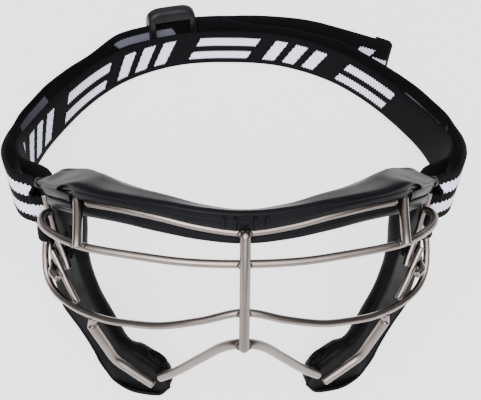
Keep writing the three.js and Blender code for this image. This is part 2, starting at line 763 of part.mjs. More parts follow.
// The origin lies on the table, under the middle of the whole object.
const goggles = new THREE.Group();
goggles.add(cage, strap);
goggles.updateMatrixWorld(true);
const bounds = new THREE.Box3().setFromObject(goggles, true);
const middle = bounds.getCenter(vec(0, 0, 0));
goggles.position.set(-middle.x, -middle.y, -bounds.min.z);

export default goggles;
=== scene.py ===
"""Lacrosse goggles: a welded wire cage on moulded pads, with an elastic head strap.

Lengths are in millimetres and are turned into metres where a mesh is made. The
cage is described as it is worn: X to the right, Y to the back of the head, Z up,
origin midway between the strap brackets. It then leans back onto the table.
"""

import json
import math

import bmesh
import bpy
import numpy as np
from mathutils import Matrix, Vector


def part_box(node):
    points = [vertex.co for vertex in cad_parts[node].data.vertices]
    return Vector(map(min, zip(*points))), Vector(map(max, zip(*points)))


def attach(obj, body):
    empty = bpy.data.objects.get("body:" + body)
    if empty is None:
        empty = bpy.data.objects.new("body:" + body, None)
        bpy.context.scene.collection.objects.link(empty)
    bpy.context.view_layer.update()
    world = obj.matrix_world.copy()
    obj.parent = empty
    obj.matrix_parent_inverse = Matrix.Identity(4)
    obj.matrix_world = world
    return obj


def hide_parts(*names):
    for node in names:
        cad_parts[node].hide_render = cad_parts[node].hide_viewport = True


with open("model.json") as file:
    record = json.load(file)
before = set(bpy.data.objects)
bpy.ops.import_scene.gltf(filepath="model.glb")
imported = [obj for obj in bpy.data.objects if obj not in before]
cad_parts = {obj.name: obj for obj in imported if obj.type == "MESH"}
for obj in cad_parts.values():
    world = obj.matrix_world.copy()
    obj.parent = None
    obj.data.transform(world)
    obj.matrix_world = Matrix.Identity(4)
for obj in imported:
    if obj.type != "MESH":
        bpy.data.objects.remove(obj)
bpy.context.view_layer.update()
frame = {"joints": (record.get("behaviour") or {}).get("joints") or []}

METRE = 1000.0

# Driving sizes
CAGE_HALF_WIDTH = 80.0
CAGE_REACH = 60.0
CAGE_HEIGHT = 110.0
REST_LEAN = math.radians(15)

BROW_WIRE = 2.8
EYE_WIRE = 2.9
LOWER_WIRE = 2.8
NOSE_WIRE = 3.6
NOSE_BAR = 3.6
POST_WIRE = 3.3
CHEEK_WIRE = 3.8
RIM_WIRE = 2.6
BRACKET_WIRE = 3.0
SEAT_GAP = 0.3
ARCH_ROOM = 1.0

BROW_PAD_HEIGHT = 14.0
BROW_PAD_DEPTH = 15.0
LIP_REACH = 1.3
LIP_THICKNESS = 3.0
SIDE_PAD_THICKNESS = 12.0

WEBBING_WIDTH = 25.0
WEBBING_THICKNESS = 1.8
WEBBING_GAP = 0.45
LOOP_PLAY = 3.2
WEBBING_HEADROOM = 0.92
STRAP_HALF_WIDTH = 108.0
STRAP_DEPTH = 179.0
STRAP_DRIFT = 2.4
BACK_RADIUS = 148.0
SLIDER_LENGTH = 32.0
SLIDER_HEIGHT = 33.0
SLIDER_WALL = 3.0
SLIDER_ANGLE = math.radians(-15)
SLIDER_TRAVEL = math.radians(5)
TAIL_END_ANGLE = math.radians(41)
TAIL_HEM_LENGTH = 11.0
TAIL_FLARE = 10.0
SLIDER_BAR = 1.8

joints = {joint["name"]: joint for joint in frame["joints"]}
TILT_PIVOT = np.array(joints["strap_tilt"]["pos_m"]) * METRE
ARC_CENTRE = np.array(joints["slider_slide"]["pos_m"]) * METRE


def place(share):
    """Worn-frame millimetres out of shares of the cage's sizes."""
    return np.array([share[0] * CAGE_HALF_WIDTH, share[1] * CAGE_REACH, share[2] * CAGE_HEIGHT])


def lean(points):
    """Turns worn-frame directions or offsets into the row's frame."""
    p = np.asarray(points, float)
    c, s = math.cos(REST_LEAN), math.sin(REST_LEAN)
    return np.stack([p[..., 0], p[..., 1] * c + p[..., 2] * s, p[..., 2] * c - p[..., 1] * s], -1)


BROW_TIP_SHARE = (0.985, -0.02, 0.104)
BRACKET_PLACE_SHARE = (1.008, 0.053, 0)
WORN_BRACKET = place(BRACKET_PLACE_SHARE)
WORN_BRACKET[2] = place(BROW_TIP_SHARE)[2] - WEBBING_WIDTH / 2 - WEBBING_HEADROOM
CAGE_ORIGIN = TILT_PIVOT - lean(WORN_BRACKET * [0, 1, 1])


def on_table(points):
    """Worn-frame millimetres to row-frame millimetres."""
    return lean(points) + CAGE_ORIGIN


def both_sides(half):
    return np.concatenate([half[1:][::-1] * [-1, 1, 1], half])


SIDES = (("right", 1), ("left", -1))


# Curves
def smooth_path(points, per_span, ring=False):
    """Centripetal Catmull-Rom curve through the points."""
    p = np.asarray(points, float)
    n = len(p)
    spans = n if ring else n - 1
    out = []
    for i in range(spans):
        p1, p2 = p[i], p[(i + 1) % n]
        p0 = p[(i - 1) % n] if ring or i > 0 else 2 * p[0] - p[1]
        p3 = p[(i + 2) % n] if ring or i + 2 < n else 2 * p[-1] - p[-2]
        d0, d1, d2 = (max(np.linalg.norm(b - a) ** 0.5, 1e-6) for a, b in ((p0, p1), (p1, p2), (p2, p3)))
        t1 = ((p1 - p0) / d0 - (p2 - p0) / (d0 + d1) + (p2 - p1) / d1) * d1
        t2 = ((p2 - p1) / d1 - (p3 - p1) / (d1 + d2) + (p3 - p2) / d2) * d1
        for k in range(per_span):
            u = k / per_span
            out.append(p1 + t1 * u + (3 * (p2 - p1) - 2 * t1 - t2) * u ** 2
                       + (2 * (p1 - p2) + t1 + t2) * u ** 3)
    if not ring:
        out.append(p[-1])
    return np.array(out)


def lengths_along(path):
    steps = np.linalg.norm(np.diff(path, axis=0), axis=1)
    return np.concatenate([[0], np.cumsum(steps)])


def resample(path, at):
    s = lengths_along(path)
    return np.stack([np.interp(np.asarray(at) * s[-1], s, path[:, i]) for i in range(3)], -1)


def along_path(path, share):
    return resample(path, [share])[0]


def unit(v):
    v = np.asarray(v, float)
    return v / np.maximum(np.linalg.norm(v, axis=-1, keepdims=True), 1e-9)


def tangents(path):
    return unit(np.gradient(path, axis=0))


def around(count):
    """Evenly spaced angles of a full turn."""
    return np.linspace(0, 2 * math.pi, count, endpoint=False)


def squared(value, power):
    """Sine or cosine bent by a power, so that a circle of them gets square shoulders."""
    return math.copysign(abs(value) ** power, value)


def chaikin(outline, rounds=2):
    """Rounds the corners of a closed outline."""
    p = np.asarray(outline, float)
    for _ in range(rounds):
        q = np.roll(p, -1, axis=0)
        p = np.stack([0.75 * p + 0.25 * q, 0.25 * p + 0.75 * q], 1).reshape(-1, p.shape[1])
    return p


# Meshes
def new_mesh(name, vertices, faces, uvs=None, crease_angle=40):
    mesh = bpy.data.meshes.new(name)
    mesh.from_pydata((np.asarray(vertices) / METRE).tolist(), [], faces)
    if uvs is not None:
        mesh.uv_layers.new(name="UVMap").data.foreach_set("uv", np.ravel(uvs))
    mesh.validate()
    piece = bpy.data.objects.new(name, mesh)
    bpy.context.scene.collection.objects.link(piece)
    mesh.shade_smooth()
    mesh.set_sharp_from_angle(angle=math.radians(crease_angle))
    return piece


def loft(name, sections, ring=False, crease_angle=40, u_values=None, v_values=None):
    """Skin over a row of closed sections, with UVs in millimetres along and across."""
    sections = np.asarray(sections, float)
    rows, count = sections.shape[:2]
    vertices = sections.reshape(-1, 3)
    if u_values is None:
        u_values = lengths_along(sections.mean(axis=1))
    if v_values is None:
        loop = np.vstack([sections[rows // 2], sections[rows // 2][:1]])
        v_values = lengths_along(loop)
    step = np.linalg.norm(sections[0].mean(axis=0) - sections[-1].mean(axis=0))
    faces, uvs = [], []
    for i in range(rows if ring else rows - 1):
        j = (i + 1) % rows
        u1 = u_values[i]
        u2 = u_values[j] if j > i else u_values[i] + step
        for k in range(count):
            m = (k + 1) % count
            faces.append((i * count + k, i * count + m, j * count + m, j * count + k))
            uvs += [(u1, v_values[k]), (u1, v_values[k + 1]), (u2, v_values[k + 1]), (u2, v_values[k])]
    if not ring:
        for i, order in ((0, range(count - 1, -1, -1)), (rows - 1, range(count))):
            faces.append(tuple(i * count + k for k in order))
            uvs += [(u_values[i], v_values[k]) for k in order]
    piece = new_mesh(name, vertices, faces, uvs, crease_angle)
    face_outward(piece)
    return piece


def face_outward(piece):
    work = bmesh.new()
    work.from_mesh(piece.data)
    bmesh.ops.recalc_face_normals(work, faces=work.faces)
    if work.calc_volume(signed=True) < 0:
        bmesh.ops.reverse_faces(work, faces=work.faces)
    work.to_mesh(piece.data)
    work.free()


# A direction that no tube starts in, and the turns of the rings that round a tube's ends.
SIDE_HINT = (0.3, 0.2, 1.0)
END_TURNS = (80, 55, 30)


def tube_sections(path, radius, sides, end_round):
    """Rings round a path, with ends rounded over end_round of the radius."""
    path = np.asarray(path, float)
    t = tangents(path)
    side = unit(np.cross(t[0], SIDE_HINT))
    a = around(sides)[:, None]
    rings = []
    for point, direction in zip(path, t):
        side = unit(side - direction * (side @ direction))
        rings.append(point + radius * (np.cos(a) * side + np.sin(a) * np.cross(direction, side)))
    bevel = radius * end_round
    if bevel > 0:
        turns = np.radians(END_TURNS)
        heads = list(zip(bevel * np.sin(turns), 1 - end_round * (1 - np.cos(turns))))
        first = [path[0] + (rings[0] - path[0]) * k - t[0] * out for out, k in heads]
        last = [path[-1] + (rings[-1] - path[-1]) * k + t[-1] * out for out, k in heads[::-1]]
        rings = first + rings + last
    return np.array(rings)


def tube(name, path, diameter, sides=20, end_round=0.3):
    path = np.asarray(path, float)
    trim = diameter / 2 * end_round
    s = lengths_along(path)
    inside = resample(path, np.linspace(trim / s[-1], 1 - trim / s[-1], max(len(path), 4)))
    return loft(name, tube_sections(inside, diameter / 2, sides, end_round), crease_angle=50)


def pod(name, path, radii, squash=1.0):
    """Rounded lump along a path, with its own radius at each point."""
    rings = tube_sections(path, 1.0, LUMP_SIDES, 0)
    rings = np.array([point + (ring - point) * radius for point, ring, radius in zip(path, rings, radii)])
    rings[..., 2] = path[:, None, 2] + (rings[..., 2] - path[:, None, 2]) * squash
    return loft(name, rings, crease_angle=60)


def carve(piece, cutters):
    """Cuts the cutters out of the piece and deletes them."""
    for cutter in cutters:
        cut = piece.modifiers.new("cut", "BOOLEAN")
        cut.operation = "DIFFERENCE"
        cut.solver = "EXACT"
        cut.object = cutter
    bpy.context.view_layer.update()
    evaluated = piece.evaluated_get(bpy.context.evaluated_depsgraph_get())
    mesh = bpy.data.meshes.new_from_object(evaluated)
    piece.modifiers.clear()
    piece.data = mesh
    for cutter in cutters:
        bpy.data.objects.remove(cutter)
    return piece


def dress(piece, body, material, slot, replaces=()):
    piece.data.materials.append(material)
    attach(piece, body)
    if replaces:
        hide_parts(*replaces)
    return piece


# Materials
class Nodes:
    """Short names for building one node tree."""

    def __init__(self, tree):
        self.tree = tree

    def node(self, kind, **inputs):
        node = self.tree.nodes.new(kind)
        for socket, value in inputs.items():
            self.feed(node.inputs[socket.replace("_", " ")], value)
        return node

    def feed(self, socket, value):
        if isinstance(value, bpy.types.NodeSocket):
            self.tree.links.new(value, socket)
        else:
            socket.default_value = value

    def math(self, operation, a, b=None, c=None):
        node = self.tree.nodes.new("ShaderNodeMath")
        node.operation = operation
        for socket, value in zip(node.inputs, (a, b, c)):
            if value is not None:
                self.feed(socket, value)
        return node.outputs[0]

    def between(self, value, low, high):
        """One where the value lies between the two, and zero elsewhere."""
        above = self.math("GREATER_THAN", value, low)
        return self.math("MULTIPLY", above, self.math("LESS_THAN", value, high))

    def noise(self, vector, scale, detail, roughness=0.5):
        return self.node("ShaderNodeTexNoise", Vector=vector, Scale=scale, Detail=detail,
                         Roughness=roughness).outputs["Fac"]

    def ramp(self, fac, stops):
        node = self.node("ShaderNodeValToRGB", Fac=fac)
        ramp = node.color_ramp
        while len(ramp.elements) < len(stops):
            ramp.elements.new(0.5)
        for element, (at, colour) in zip(ramp.elements, stops):
            element.position = at
            element.color = (*colour, 1.0)
        return node.outputs["Color"]

    def range(self, value, low, high):
        node = self.node("ShaderNodeMapRange", Value=value)
        node.inputs["To Min"].default_value = low
        node.inputs["To Max"].default_value = high
        return node.outputs["Result"]

    def place(self, output, scale=(1, 1, 1)):
        """Texture coordinates from the named output, scaled."""
        source = self.node("ShaderNodeTexCoord").outputs[output]
        return self.node("ShaderNodeMapping", Vector=source, Scale=scale).outputs["Vector"]


class Shader(Nodes):
    """Node material on a Principled BSDF."""

    def __init__(self, name, **constants):
        self.material = bpy.data.materials.new(name)
        self.material.use_nodes = True
        super().__init__(self.material.node_tree)
        self.bsdf = self.tree.nodes["Principled BSDF"]
        for socket, value in constants.items():
            self.bsdf.inputs[socket.replace("_", " ")].default_value = value

    def drive(self, socket, value):
        self.feed(self.bsdf.inputs[socket], value)

    def bump(self, height, strength, distance):
        node = self.node("ShaderNodeBump", Height=height, Strength=strength, Distance=distance)
        self.drive("Normal", node.outputs["Normal"])


# Stretch of the marks along a drawn wire, and sizes of the noises, per unit of their place.
DRAWN_SCALE = (0.05, 2.2, 1)
DRAWN_NOISE = 6.0
TARNISH_NOISE = 90.0
DRAWN_DEPTH = 0.04


def wire_metal(name, dark, light, rough):
    """Drawn wire, with streaks along it and uneven tarnish."""
    shader = Shader(name, Metallic=1.0)
    drawn = shader.noise(shader.place("UV", DRAWN_SCALE), DRAWN_NOISE, 4.0)
    patches = shader.noise(shader.place("Object"), TARNISH_NOISE, 3.0)
    shader.drive("Base Color", shader.ramp(patches, [(0.3, dark), (0.7, light)]))
    shader.drive("Roughness", shader.range(drawn, rough - 0.03, rough + 0.06))
    shader.bump(drawn, DRAWN_DEPTH, 0.0001)
    return shader.material


PATCH_NOISE = 60.0
GLOSS_NOISE = 120.0
GLOSS_SCALE = (1, 1, 0.5)


def moulded(name, dark, light, rough, grain, depth, specular=(0.1, 0.2)):
    """Moulded black rubber or plastic, with its gloss uneven from handling."""
    shader = Shader(name)
    patches = shader.noise(shader.place("Object"), PATCH_NOISE, 4.0)
    fine = shader.noise(shader.place("Object"), grain, 3.0, 0.6)
    shader.drive("Base Color", shader.ramp(patches, [(0.25, dark), (0.75, light)]))
    gloss = shader.noise(shader.place("Object", GLOSS_SCALE), GLOSS_NOISE, 2.0)
    shader.drive("Specular IOR Level", shader.range(gloss, *specular))
    shader.drive("Roughness", shader.range(patches, rough - 0.05, rough + 0.07))
    shader.bump(fine, depth, 0.0003)
    return shader.material


# Millimetres between the courses across the band and between the wales along it.
COURSE = 1.1
WALE = 0.62
# Steps in which a print's edge runs, and the length and depth of its waves.
PRINT_STEP = (0.75, 0.3)
SCALLOP = 2.1
SCALLOP_DEPTH = 0.42
FUZZ_NOISE = 2600.0
YARN_DARK = (0.002, 0.002, 0.0025)
YARN_LIGHT = (0.006, 0.006, 0.007)


def woven_height(shader, u, v):
    """Height of an elastic weave: courses across the band and wales along it."""
    turn = shader.math("MULTIPLY", u, 2 * math.pi / COURSE)
    half = shader.math("FLOOR", shader.math("DIVIDE", v, WALE))
    offset_row = shader.math("SINE", shader.math("ADD", turn, shader.math("MULTIPLY", half, math.pi)))
    rib = shader.math("ABSOLUTE", shader.math("SINE", shader.math("MULTIPLY", v, math.pi / WALE)))
    weave = shader.math("ADD", shader.math("MULTIPLY", offset_row, 0.5), rib)
    return shader.math("ADD", weave, shader.math("MULTIPLY", shader.math("SINE", turn), 0.1))


def print_mask(shader, u, v, printed):
    """One on the bars of a print and zero between them, with edges snapped to the stitches."""
    wave = shader.math("SINE", shader.math("MULTIPLY", u, 2 * math.pi / SCALLOP))
    across = shader.math("SNAP", shader.math("MULTIPLY_ADD", wave, SCALLOP_DEPTH, v), PRINT_STEP[1])
    slanted = shader.math("ADD", shader.math("SNAP", u, PRINT_STEP[0]),
                          shader.math("MULTIPLY", across, PRINT_SLANT))
    shown, begun = 0.0, 0.0
    for low, high, start in printed["stretches"]:
        part = shader.between(u, low, high)
        shown = shader.math("MAXIMUM", part, shown)
        begun = shader.math("MULTIPLY_ADD", part, start, begun)
    along = shader.math("SUBTRACT", slanted, begun)
    turns = shader.math("FLOOR", shader.math("DIVIDE", along, printed["period"]))
    along = shader.math("SUBTRACT", along, shader.math("MULTIPLY", turns, printed["period"]))
    mask = 0.0
    for ends, edges in printed["bars"]:
        bar = shader.math("MULTIPLY", shader.between(along, *ends), shader.between(across, *edges))
        mask = shader.math("MAXIMUM", bar, mask)
    return shader.math("MULTIPLY", mask, shown)


def webbing(name, printed=None, tones=None):
    """Elastic webbing. The UVs are millimetres along and across the band."""
    shader = Shader(name, Sheen_Weight=0.0, Specular_IOR_Level=0.05)
    split = shader.node("ShaderNodeSeparateXYZ", Vector=shader.node("ShaderNodeTexCoord").outputs["UV"])
    u, v = split.outputs["X"], split.outputs["Y"]
    height = woven_height(shader, u, v)
    fuzz = shader.noise(shader.place("Object"), FUZZ_NOISE, 2.0)
    tone = shader.math("ADD", shader.math("MULTIPLY", height, 0.25), shader.math("MULTIPLY", fuzz, 0.6))
    yarn = shader.ramp(tone, [(0.2, YARN_DARK), (0.9, YARN_LIGHT)])
    if printed:
        mask = print_mask(shader, u, v, printed)
        mix = shader.tree.nodes.new("ShaderNodeMix")
        mix.data_type = "RGBA"
        # The ink's tones: white for the print, dark grey for its copy painted in shade.
        ink = shader.ramp(tone, [(0.2, tones[0]), (0.9, tones[1])])
        for socket, value in ((0, mask), (6, yarn), (7, ink)):
            shader.feed(mix.inputs[socket], value)
        yarn = mix.outputs[2]
        height = shader.math("ADD", height, shader.math("MULTIPLY", mask, 0.4))
    shader.drive("Base Color", yarn)
    shader.drive("Roughness", shader.range(fuzz, 0.75, 0.95))
    shader.bump(height, 0.5, 0.0002)
    return shader.material


# Generic print: long bars and slashes. Lengths along the band start at the back of the
# inner layer and run by the right bracket and the outer layer to the left bracket. They
# are negative on the left half of the inner layer.
PRINT_SLANT = -0.55
PRINT_BARS = [((4, 44), (4.4, 9.8)), ((4, 44), (14.6, 20.2)),
              ((55, 63), (4.4, 20.2)), ((69, 77), (4.4, 20.2)), ((83, 91), (4.4, 20.2))]
# Each stretch of print has its two ends and the place where its motif starts.
MOTIF = {
    "period": 104.0, "bars": PRINT_BARS,
    "stretches": [(-190, 126, 69.4), (256, 362, 256), (740, 868, 693.4)],
}
# Dim copy of the print for the band's reverse: the white print darkened as painted shade.
SHADED_PRINT_MOTIF = {
    "period": 200.0, "bars": PRINT_BARS + [((104, 144), (12.6, 16.6))],
    "stretches": [(376, 432, 276), (586, 642, 586), (690, 746, 690)],
}
TAIL_MOTIF = {
    "period": 300.0, "bars": [((0, 10), (10.5, 16.5)), ((12, 30), (2.0, 11.0))],
    "stretches": [(110, 150, 121)],
}
# Length from which the left half is counted back from the loop's whole length.
LEFT_TURN_LENGTH = 868
PRINT_WHITE = ((0.62, 0.62, 0.8), (0.88, 0.88, 1.0))
# Tones of the copy on the reverse: dark grey-lilac, painted shade on the white print.
PRINT_PAINTED_SHADE_GREY = ((0.09, 0.09, 0.12), (0.2, 0.2, 0.26))

steel = wire_metal("satin_titanium", (0.185, 0.158, 0.147), (0.224, 0.194, 0.182), 0.31)
weld_steel = wire_metal("weld_titanium", (0.07, 0.062, 0.058), (0.13, 0.115, 0.106), 0.34)
bar_steel = wire_metal("bar_steel", (0.3, 0.3, 0.3), (0.38, 0.38, 0.38), 0.3)
shell = moulded("brow_shell", (0.004, 0.004, 0.005), (0.006, 0.006, 0.0075), 0.3, 1500.0, 0.03,
                (0.03, 0.07))
rubber = moulded("cheek_rubber", (0.003, 0.003, 0.0035), (0.005, 0.005, 0.006), 0.36, 300.0, 0.2,
                 (0.0, 0.06))
nylon = moulded("slider_nylon", (0.005, 0.005, 0.006), (0.008, 0.008, 0.0095), 0.33, 1200.0, 0.06)
plain_webbing = webbing("webbing_plain")
printed_webbing = webbing("webbing_printed", MOTIF, PRINT_WHITE)
# Reverse face: the print's copy, painted in shade.
shaded_print_webbing = webbing("webbing_reverse_shaded_print", SHADED_PRINT_MOTIF, PRINT_PAINTED_SHADE_GREY)
tail_webbing = webbing("webbing_tail", TAIL_MOTIF, PRINT_WHITE)
# Material slots of the band: the print, its copy painted in shade, and the tail's print.
PRINTED, SHADED_PRINT, TAIL = 1, 2, 3
# Body, material and slot of the cage's pieces.
STEEL = ("cage", steel, "titanium")
SHELL = ("cage", shell, "pad_shell")
RUBBER = ("cage", rubber, "pad_rubber")
thread = moulded("sewing_thread", (0.012, 0.012, 0.013), (0.03, 0.03, 0.033), 0.6, 3000.0, 0.2)

# Wire cage
BROW_ROUTE = [
    (0, -0.775, 0.225), (0.185, -0.753, 0.238), (0.35, -0.703, 0.254), (0.525, -0.608, 0.249),
    (0.694, -0.477, 0.22), (0.825, -0.308, 0.168), (0.925, -0.142, 0.123), BROW_TIP_SHARE,
]
EYE_ROUTE = [
    (0, -0.838, 0.131), (0.238, -0.82, 0.131), (0.438, -0.773, 0.134), (0.669, -0.687, 0.131),
    (0.77, -0.6, 0.119), (0.84, -0.512, 0.104), (0.91, -0.4, 0.09), (0.94, -0.3, 0.082),
    (0.936, -0.225, 0.074), (0.915, -0.187, 0.066),
]
LOWER_ROUTE = [
    (0, -0.927, -0.028), (0.188, -0.905, -0.077), (0.369, -0.842, -0.135), (0.52, -0.755, -0.175),
    (0.65, -0.667, -0.205), (0.819, -0.5, -0.241), (0.944, -0.342, -0.243), (0.993, -0.242, -0.214),
    (1.004, -0.163, -0.155), (0.996, -0.115, -0.102),
]
NOSE_ROUTE = [
    (0, -0.982, -0.138), (0.08, -0.935, -0.18), (0.196, -0.85, -0.298), (0.318, -0.77, -0.422),
    (0.408, -0.705, -0.503),
]
UPPER_RIM_ROUTE = [
    (0.955, -0.1, 0.106), (0.945, -0.125, 0.05), (0.936, -0.14, 0), (0.925, -0.165, -0.05),
    (0.9, -0.21, -0.1), (0.878, -0.255, -0.14), (0.868, -0.285, -0.163),
]
LOWER_RIM_ROUTE = [
    (0.942, -0.235, -0.092), (0.903, -0.3, -0.143), (0.866, -0.365, -0.192), (0.82, -0.43, -0.255),
]
CHEEK_ROUTE = [
    (0.741, -0.567, -0.292), (0.691, -0.583, -0.382), (0.638, -0.6, -0.468), (0.575, -0.625, -0.505),
    (0.454, -0.667, -0.572),
]

# Root of a post in the brow pad: place along the brow wire, then forward of it and above
# it as shares of the pad's depth and height. Its foot stands in front of the eye wire.
POST_ROOT_SHARES = [
    (0.872, -0.08, 0.02), (0.764, -0.08, 0.12), (0.678, -0.07, 0.165), (0.652, -0.03, 0.13),
    (0.628, 0.09, -0.03),
]
POST_FOOT_SHARE = 0.803
POST_FOOT_ANGLES = (math.radians(76), math.radians(30))

# Upright of a strap bracket: heights are shares of the webbing's width above its middle.
BRACKET_UPRIGHT_SHARES = [
    (1.006, 0.035, 0.58), (1.008, 0.053, 0.453), (1.008, 0.053, -0.52), (1.003, 0.028, -0.656),
    (0.98, -0.08, -0.708),
]
BRACKET_FOOT_ROUTE = [(0.948, -0.25, -0.16), (0.938, -0.34, -0.148), (0.895, -0.405, -0.147)]


def route(shares):
    return np.array([place(share) for share in shares])


# Curve points per span of a route, and corners of the sections of wires, cutters, lumps and ribs.
LONG_STEPS = 12
SHORT_STEPS = 10
CUTTER_STEPS = 8
WIRE_SIDES = 24
CUTTER_SIDES = 20
LUMP_SIDES = 20
RIB_SIDES = 14

brow_path, eye_path, lower_path, nose_path = (
    smooth_path(both_sides(route(shares)), LONG_STEPS)
    for shares in (BROW_ROUTE, EYE_ROUTE, LOWER_ROUTE, NOSE_ROUTE)
)


def brow_place(along):
    """Place on the brow wire's route, with the level direction away from the head."""
    share = (along + 1) / 2
    direction = unit(along_path(tangents(brow_path), share) * [1, 1, 0])
    return along_path(brow_path, share), np.array([direction[1], -direction[0], 0])


def by_brow(along, forward_by, rise):
    """Point beside the brow wire's route, in worn-frame millimetres."""
    origin, forward = brow_place(along)
    return origin + forward * forward_by + np.array([0, 0, rise])


def post_points():
    root = [by_brow(along, forward * BROW_PAD_DEPTH, rise * BROW_PAD_HEIGHT)
            for along, forward, rise in POST_ROOT_SHARES]
    top, front = POST_FOOT_ANGLES
    offset = ((EYE_WIRE + POST_WIRE) / 2 + SEAT_GAP) / math.cos((top - front) / 2)
    foot = along_path(eye_path, POST_FOOT_SHARE)
    return np.array(root + [foot + np.array([0, -math.cos(angle), math.sin(angle)]) * offset
                            for angle in POST_FOOT_ANGLES])


def bracket_points():
    upright = route(BRACKET_UPRIGHT_SHARES)
    upright[:, 2] = [WORN_BRACKET[2] + rise * WEBBING_WIDTH for _, _, rise in BRACKET_UPRIGHT_SHARES]
    return np.concatenate([upright, route(BRACKET_FOOT_ROUTE)])


POST_POINTS = post_points()
BRACKET_POINTS = bracket_points()
BROW_WIRE_END_SHARE = 0.205
brow_wire_path = resample(brow_path, np.linspace(BROW_WIRE_END_SHARE, 1 - BROW_WIRE_END_SHARE, 120))


def dress_wire(name, path, diameter, end_round):
    """Steel wire along a worn-frame path, in place of the solid of that name."""
    wire = tube(f"{name}_drawn", on_table(path), diameter, WIRE_SIDES, end_round)
    dress(wire, *STEEL, (name,))


def seat_cutter(path, diameter, sides=CUTTER_SIDES):
    """Cutter along a wire's path, wider than the wire by the seat gap on each side."""
    return tube("cutter", on_table(path), diameter + 2 * SEAT_GAP, sides, 0.0)


# Wires that cross the nose bar, from the top down: their middles and their diameters.
CROSSINGS = {
    "brow": (place(BROW_ROUTE[0]), BROW_WIRE), "eye": (place(EYE_ROUTE[0]), EYE_WIRE),
    "lower": (place(LOWER_ROUTE[0]), LOWER_WIRE), "nose": (place(NOSE_ROUTE[0]), NOSE_WIRE),
}


def nose_bar_path():
    along = unit(CROSSINGS["nose"][0] - CROSSINGS["brow"][0])
    forward = np.array([0, along[2], -along[1]])
    points = [centre + forward * ((diameter + NOSE_BAR) / 2 + SEAT_GAP)
              for centre, diameter in CROSSINGS.values()]
    return np.array([points[0] - along * NOSE_BAR / 2, *points, points[-1] + along * NOSE_BAR / 4])


dress_wire("brow_wire", brow_wire_path, BROW_WIRE, 0.3)
dress_wire("eye_wire", eye_path, EYE_WIRE, 0.3)
dress_wire("lower_wire", lower_path, LOWER_WIRE, 0.3)
dress_wire("nose_wire", nose_path, NOSE_WIRE, 0.25)
dress_wire("nose_bar", smooth_path(nose_bar_path(), LONG_STEPS), NOSE_BAR, 0.9)

SIDE_WIRES = {
    "temple_post": (POST_POINTS, POST_WIRE, 0.2),
    "cheek_wire": (route(CHEEK_ROUTE), CHEEK_WIRE, 0.25),
    "upper_rim_wire": (route(UPPER_RIM_ROUTE), RIM_WIRE, 0.3),
    "lower_rim_wire": (route(LOWER_RIM_ROUTE), RIM_WIRE, 0.3),
    "strap_bracket": (BRACKET_POINTS, BRACKET_WIRE, 0.3),
}
for side, sign in SIDES:
    for name, (points, diameter, ends) in SIDE_WIRES.items():
        dress_wire(f"{name}_{side}", smooth_path(points * [sign, 1, 1], SHORT_STEPS), diameter, ends)


def side_cutters(sign, *names, room=0):
    """Cutters along the named wires of one side, wider where more room is asked for."""
    return [seat_cutter(smooth_path(points * [sign, 1, 1], CUTTER_STEPS), diameter + room)
            for points, diameter, _ in (SIDE_WIRES[name] for name in names)]


# Web between the lower wire and a cheek wire: its ends, its size, and half of its section.
WEB_TOP_SHARE = 0.787
WEB_BOTTOM_SHARE = 0.02
WEB_THICKNESS = 2.2
WEB_WIDTH = 3.6
WEB_CORNER_SHARES = [(-1, -0.5), (-0.7, -1), (0.7, -1), (1, -0.5)]


def web_top(sign):
    return along_path(lower_path, WEB_TOP_SHARE if sign > 0 else 1 - WEB_TOP_SHARE)


def cheek_web(side, sign):
    """Flattened tab between the lower wire and the cut top of a cheek wire."""
    top = web_top(sign)
    cheek = smooth_path(route(CHEEK_ROUTE) * [sign, 1, 1], SHORT_STEPS)
    bottom = along_path(cheek, WEB_BOTTOM_SHARE)
    down = unit(bottom - top)
    across = unit(np.array([1, 0, 0]) - down * down[0])
    through = np.cross(down, across)
    corners = WEB_CORNER_SHARES + [(-a, -t) for a, t in WEB_CORNER_SHARES]
    sections = [[p + across * a * WEB_WIDTH / 2 + through * t * WEB_THICKNESS / 2 for a, t in corners]
                for p in (top, (top + bottom) / 2, bottom)]
    web = loft(f"cheek_web_{side}_formed", on_table(sections), crease_angle=50)
    carve(web, [seat_cutter(lower_path, LOWER_WIRE, WIRE_SIDES), seat_cutter(cheek, CHEEK_WIRE, WIRE_SIDES)])
    dress(web, *STEEL, (f"cheek_web_{side}",))


for side, sign in SIDES:
    cheek_web(side, sign)

BEAD_RINGS = 10
BEAD_SIDES = 16
BEAD_LUMP_SHARES = (0.08, 0.05)
# Places of the beads beside a wire, and their radii, as shares of the wires' diameters.
BAR_BEAD_SHARES = (0.45, -0.5, 0.18)
BAR_BEAD_RADIUS_SHARE = 0.36
FOOT_BEAD_SHARES = (0.5, 0.45, -0.15)
FOOT_BEAD_RADIUS_SHARE = 0.27
WEB_BEAD_RADIUS_SHARE = 0.42


def weld_bead(name, centre, radius):
    """Small uneven bead of weld metal, as a lumpy ball."""
    wide, fine = BEAD_LUMP_SHARES
    b = around(BEAD_SIDES)
    rings = []
    for i in range(1, BEAD_RINGS):
        a = math.pi * i / BEAD_RINGS
        lump = 1 + wide * np.sin(3 * b + i) + fine * np.cos(5 * b - 2 * i)
        way = np.stack([math.sin(a) * np.cos(b), math.sin(a) * np.sin(b), np.full(len(b), math.cos(a))], -1)
        rings.append(centre + radius * lump[:, None] * way)
    dress(loft(name, on_table(rings), crease_angle=80), "cage", weld_steel, "titanium")


